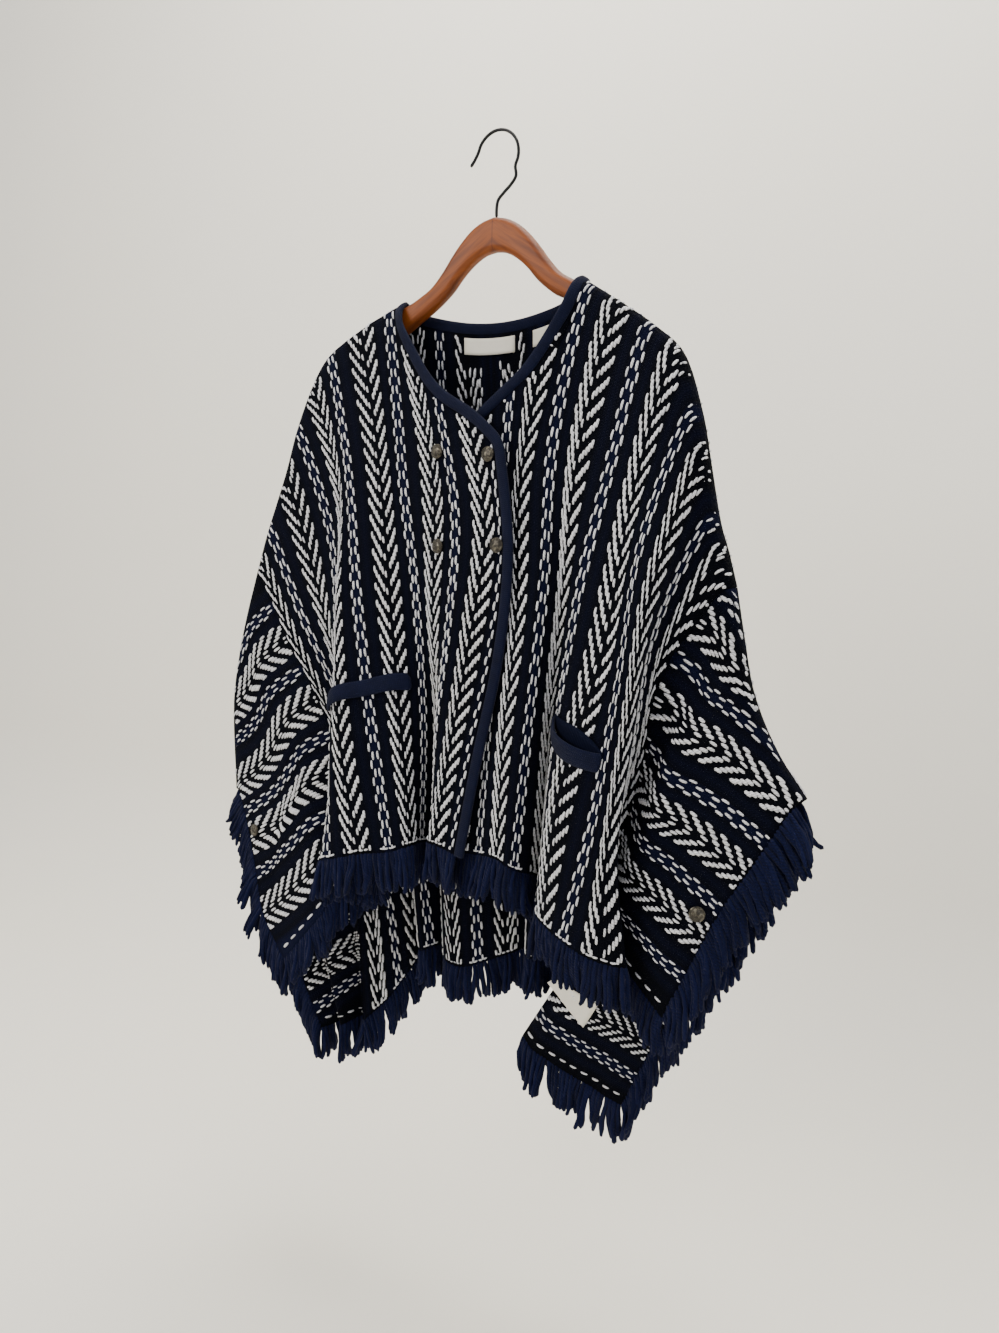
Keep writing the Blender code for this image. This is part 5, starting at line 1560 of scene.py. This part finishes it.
def matt_paper():
    """Studio paper: plain, matt, barely mottled, and clear from its back, so that it hides nothing."""
    made, tree, shader, spot = finish_named("pale_paper")
    mottle = node(tree, "TexNoise", {"Vector": spot, "Scale": 3.0, "Detail": 3.0})
    share = node(tree, "Math", [mottle, 0.08], operation="MULTIPLY")
    shade = node(tree, "Mix", {MIX_SHARE: share, MIX_A: hexed("#f7f3e8"), MIX_B: hexed("#ffffff")},
                 data_type="RGBA")
    fill(tree, shader, {"Base Color": shade.outputs[MIXED], "Roughness": 0.9})
    behind = node(tree, "NewGeometry").outputs["Backfacing"]
    sided = node(tree, "MixShader", [behind, shader, node(tree, "BsdfTransparent")])
    fill(tree, tree.nodes["Material Output"], {"Surface": sided})
    return made


def edge_route(sheet):
    """The edge of a front from its hem up to the neck and on to the shoulder, with what lies inside it."""
    turn = len(FIRST_ROWS) - 1
    last = sheet.first_rows.index(0)
    rows = range(sheet.grid.shape[1] - 1, turn, -1)
    route = [(0, row) for row in rows] + [(column, turn) for column in range(last)]
    route += [(last, row) for row in range(turn, -1, -1)]
    beside = [(1, row) for row in rows] + [(column, turn + 1) for column in range(last)]
    beside += [(last + 1, row) for row in range(turn, -1, -1)]
    return route, beside


def neck_route(sheet):
    """The back's neck edge from shoulder to shoulder, with what lies inside it."""
    turn = len(FIRST_ROWS) - 1
    neck = [column for column, first in enumerate(sheet.first_rows) if first > 0]
    before, after = neck[0] - 1, neck[-1] + 1
    route = [(before, row) for row in range(turn + 1)] + [(column, turn) for column in neck]
    route += [(after, row) for row in range(turn, -1, -1)]
    beside = [(before - 1, row) for row in range(turn + 1)] + [(column, turn + 1) for column in neck]
    beside += [(after + 1, row) for row in range(turn, -1, -1)]
    return route, beside


wool = knit_ground()
ecru = yarn("ecru_wool_yarn", "#fbfafc", "#5e5e66", 0.2, 2.0, 0.2)
navy_wool = yarn("navy_wool_yarn", "#0e1331", "#020308", 0.5, 3.0, 0.06)
rib = knit_binding()
cherry = stained_cherry()
lacquer = painted_wire()
brass = antique_button()
tape = label_satin()

sheets = panels()
cloths = {name: Cloth(sheet) for name, sheet in sheets.items()}
full = template(5, 5, STITCH_FULLNESS)
small = template(4, 4, STITCH_FULLNESS)
coarse = template(4, 3, STITCH_FULLNESS)
labels_at = [(piece.start - 3, piece.end + 3) for piece in FLAT_LABELS]

outer = {}
for name, sheet in sheets.items():
    cloth = cloths[name]
    shell = ground(name, sheet, cloth, wool)
    made = []
    for side in (1, -1):
        plain = side < 0 or "back" in name
        if name.startswith("sleeve"):
            sign = -1 if name == "sleeve_back_left" else 1
            rows = sleeve_stitches(name, sign)
            rows = clipped(rows, cloth, sign * 1.0, sign * (SLEEVE - 1.5), 4.0)
        else:
            low = -BODY_HALF if name == "back" else FRONT_EDGE
            rows = clipped(body_stitches(cloth, name, plain), cloth, low + 1.5, BODY_HALF - 1.5, 3.0)
        if name == "back" and side < 0:
            near_top = rows[:, 1] > cloth.room(rows[:, 0]) - 26
            under = np.zeros(len(rows), bool)
            for start, end in labels_at:
                under |= near_top & (rows[:, 0] > start) & (rows[:, 0] < end)
            rows = rows[~under]
        if name.startswith("front"):
            pattern = full if side > 0 else coarse
        else:
            pattern = coarse if name.startswith("sleeve_front") and side < 0 else small
        title = ("stitches_" if side > 0 else "inner_stitches_") + name
        made.append(stitches_piece(title, cloth, rows, side, pattern, ecru))
    outer[name] = (shell, made)

turn = len(FIRST_ROWS) - 1
for hand in ("left", "right"):
    sheet = sheets["front_" + hand]
    route, beside = edge_route(sheet)
    made = edge_binding("rib_front_" + hand, sheet, route, beside, rib)
    outer["front_" + hand][1].append(made)
route, beside = neck_route(sheets["back"])
outer["back"][1].append(edge_binding("rib_back_neck", sheets["back"], route, beside, rib))

down = (0.0, 0.0, -1.0)
for name, sheet in sheets.items():
    made = fringe_piece("strands_hem_" + name, sheet.grid[:, -1], sheet.normals[:, -1], sheet.grid[:, -2],
                        down, down, navy_wool)
    outer[name][1].append(made)
for name, lean in (("sleeve_front_left", (-0.4, -0.05, -0.9)), ("sleeve_back_left", (-0.45, 0.05, -0.9)),
                   ("sleeve_front_right", (0.5, -0.05, -0.85)), ("sleeve_back_right", (0.15, 0.05, -1.0))):
    sheet = sheets[name]
    cuff = 0 if name == "sleeve_back_left" else -1
    beside = 1 if cuff == 0 else -2
    below = slice(turn, None)
    made = fringe_piece("strands_cuff_" + name, sheet.grid[cuff, below], sheet.normals[cuff, below],
                        sheet.grid[beside, below], lean, down, navy_wool)
    outer[name][1].append(made)

for spot in BUTTONS:
    outer[spot.panel][1].append(button_piece(spot, sheets[spot.panel], brass))
lining = dark_lining()
for piece in WELTS:
    outer[piece.panel][1].append(welt(piece, sheets[piece.panel], rib))
    if piece.gape:
        outer[piece.panel][1].append(pocket_lining(piece, sheets[piece.panel], lining))
for piece in FLAT_LABELS:
    outer["back"][1].append(flat_label(piece, sheets["back"], tape))
outer["back"][1].append(care_label(tape))

# What each panel was cut to: width, length and area, in millimetres and square metres.
Cut = namedtuple("Cut", "width length area")

wooden_hanger(cherry)
wire_hook(lacquer)

# Studio, in metres: a pale floor that rises to a pale backdrop, soft light from the left and above.
PAPER_WIDTH, PAPER_BEND = 8.0, 0.35    # the bend as a radius
PAPER_FRONT, PAPER_TURN = -3.0, 0.45   # along Y: where the floor starts, and where it starts to rise
FLOOR, PAPER_TOP = -1.32, 2.2


def paper_sweep(finish):
    """Paper that lies flat, bends up and stands behind, with its front to the camera."""
    bend = [(PAPER_FRONT, FLOOR), (PAPER_TURN, FLOOR)]
    bend += [(PAPER_TURN + PAPER_BEND * np.sin(a), FLOOR + PAPER_BEND - PAPER_BEND * np.cos(a))
             for a in np.linspace(0.2, np.pi / 2, 8)]
    bend += [(PAPER_TURN + PAPER_BEND, PAPER_TOP)]
    sweep = bmesh.new()
    line = [sweep.verts.new((-PAPER_WIDTH / 2, y, z)) for y, z in bend]
    edges = [sweep.edges.new(pair) for pair in zip(line, line[1:])]
    pulled = bmesh.ops.extrude_edge_only(sweep, edges=edges)
    moved = [item for item in pulled["geom"] if isinstance(item, bmesh.types.BMVert)]
    bmesh.ops.translate(sweep, vec=(PAPER_WIDTH, 0, 0), verts=moved)
    bmesh.ops.recalc_face_normals(sweep, faces=sweep.faces)
    sweep.normal_update()
    if max(sweep.faces, key=lambda face: face.calc_center_median().z).normal.y > 0:
        bmesh.ops.reverse_faces(sweep, faces=sweep.faces)
    mesh = bpy.data.meshes.new("backdrop")
    sweep.to_mesh(mesh)
    sweep.free()
    for polygon in mesh.polygons:
        polygon.use_smooth = True
    mesh.materials.append(finish)
    backdrop = bpy.data.objects.new("backdrop", mesh)
    bpy.context.scene.collection.objects.link(backdrop)


def soft_light(name, place, target, size, power, code):
    """A square soft light that faces a point."""
    data = bpy.data.lights.new(name, "AREA")
    data.shape = "SQUARE"
    data.size = size
    data.energy = power
    data.color = hexed(code)[:3]
    lamp = bpy.data.objects.new(name, data)
    lamp.location = place
    lamp.rotation_mode = "QUATERNION"
    lamp.rotation_quaternion = (Vector(target) - Vector(place)).to_track_quat("-Z", "Y")
    bpy.context.scene.collection.objects.link(lamp)


paper_sweep(matt_paper())
soft_light("key", (-1.5, -2.3, 0.9), (0, 0, -0.55), 1.6, 62, "#fffaf2")
soft_light("fill", (2.3, -2.0, -0.1), (0, 0, -0.6), 2.0, 22, "#f2f6ff")
soft_light("top", (0.0, -0.4, 1.9), (0, 0.2, -0.6), 1.8, 26, "#ffffff")
soft_light("wash", (0.0, 0.3, 1.7), (0, 1.4, -0.9), 1.4, 58, "#fffaf0")
world = bpy.data.worlds.new("studio")
world.use_nodes = True
world.node_tree.nodes["Background"].inputs["Color"].default_value = hexed("#f1f3f6")
world.node_tree.nodes["Background"].inputs["Strength"].default_value = 0.55
bpy.context.scene.world = world

# The camera stands a little to the right and high, and looks left and down at the front.
CAMERA_PLACE = (0.55105, -0.89583, -0.39676)
CAMERA_YAW, CAMERA_PITCH, CAMERA_ROLL = np.radians((30.85, -7.7, 1.35))
ahead = np.array([-np.sin(CAMERA_YAW) * np.cos(CAMERA_PITCH), np.cos(CAMERA_YAW) * np.cos(CAMERA_PITCH),
                  np.sin(CAMERA_PITCH)])
level = unit(np.cross(ahead, (0, 0, 1)))
upright = np.cross(level, ahead)
right = level * np.cos(CAMERA_ROLL) + upright * np.sin(CAMERA_ROLL)
above = upright * np.cos(CAMERA_ROLL) - level * np.sin(CAMERA_ROLL)
camera = bpy.data.objects.new("camera", bpy.data.cameras.new("camera"))
camera.data.sensor_width = 36.0
camera.data.lens = 26.74
camera.data.clip_start = 0.02
facing = Matrix((right, above, -ahead)).transposed().to_4x4()
camera.matrix_world = Matrix.Translation(CAMERA_PLACE) @ facing
bpy.context.scene.collection.objects.link(camera)
bpy.context.scene.camera = camera
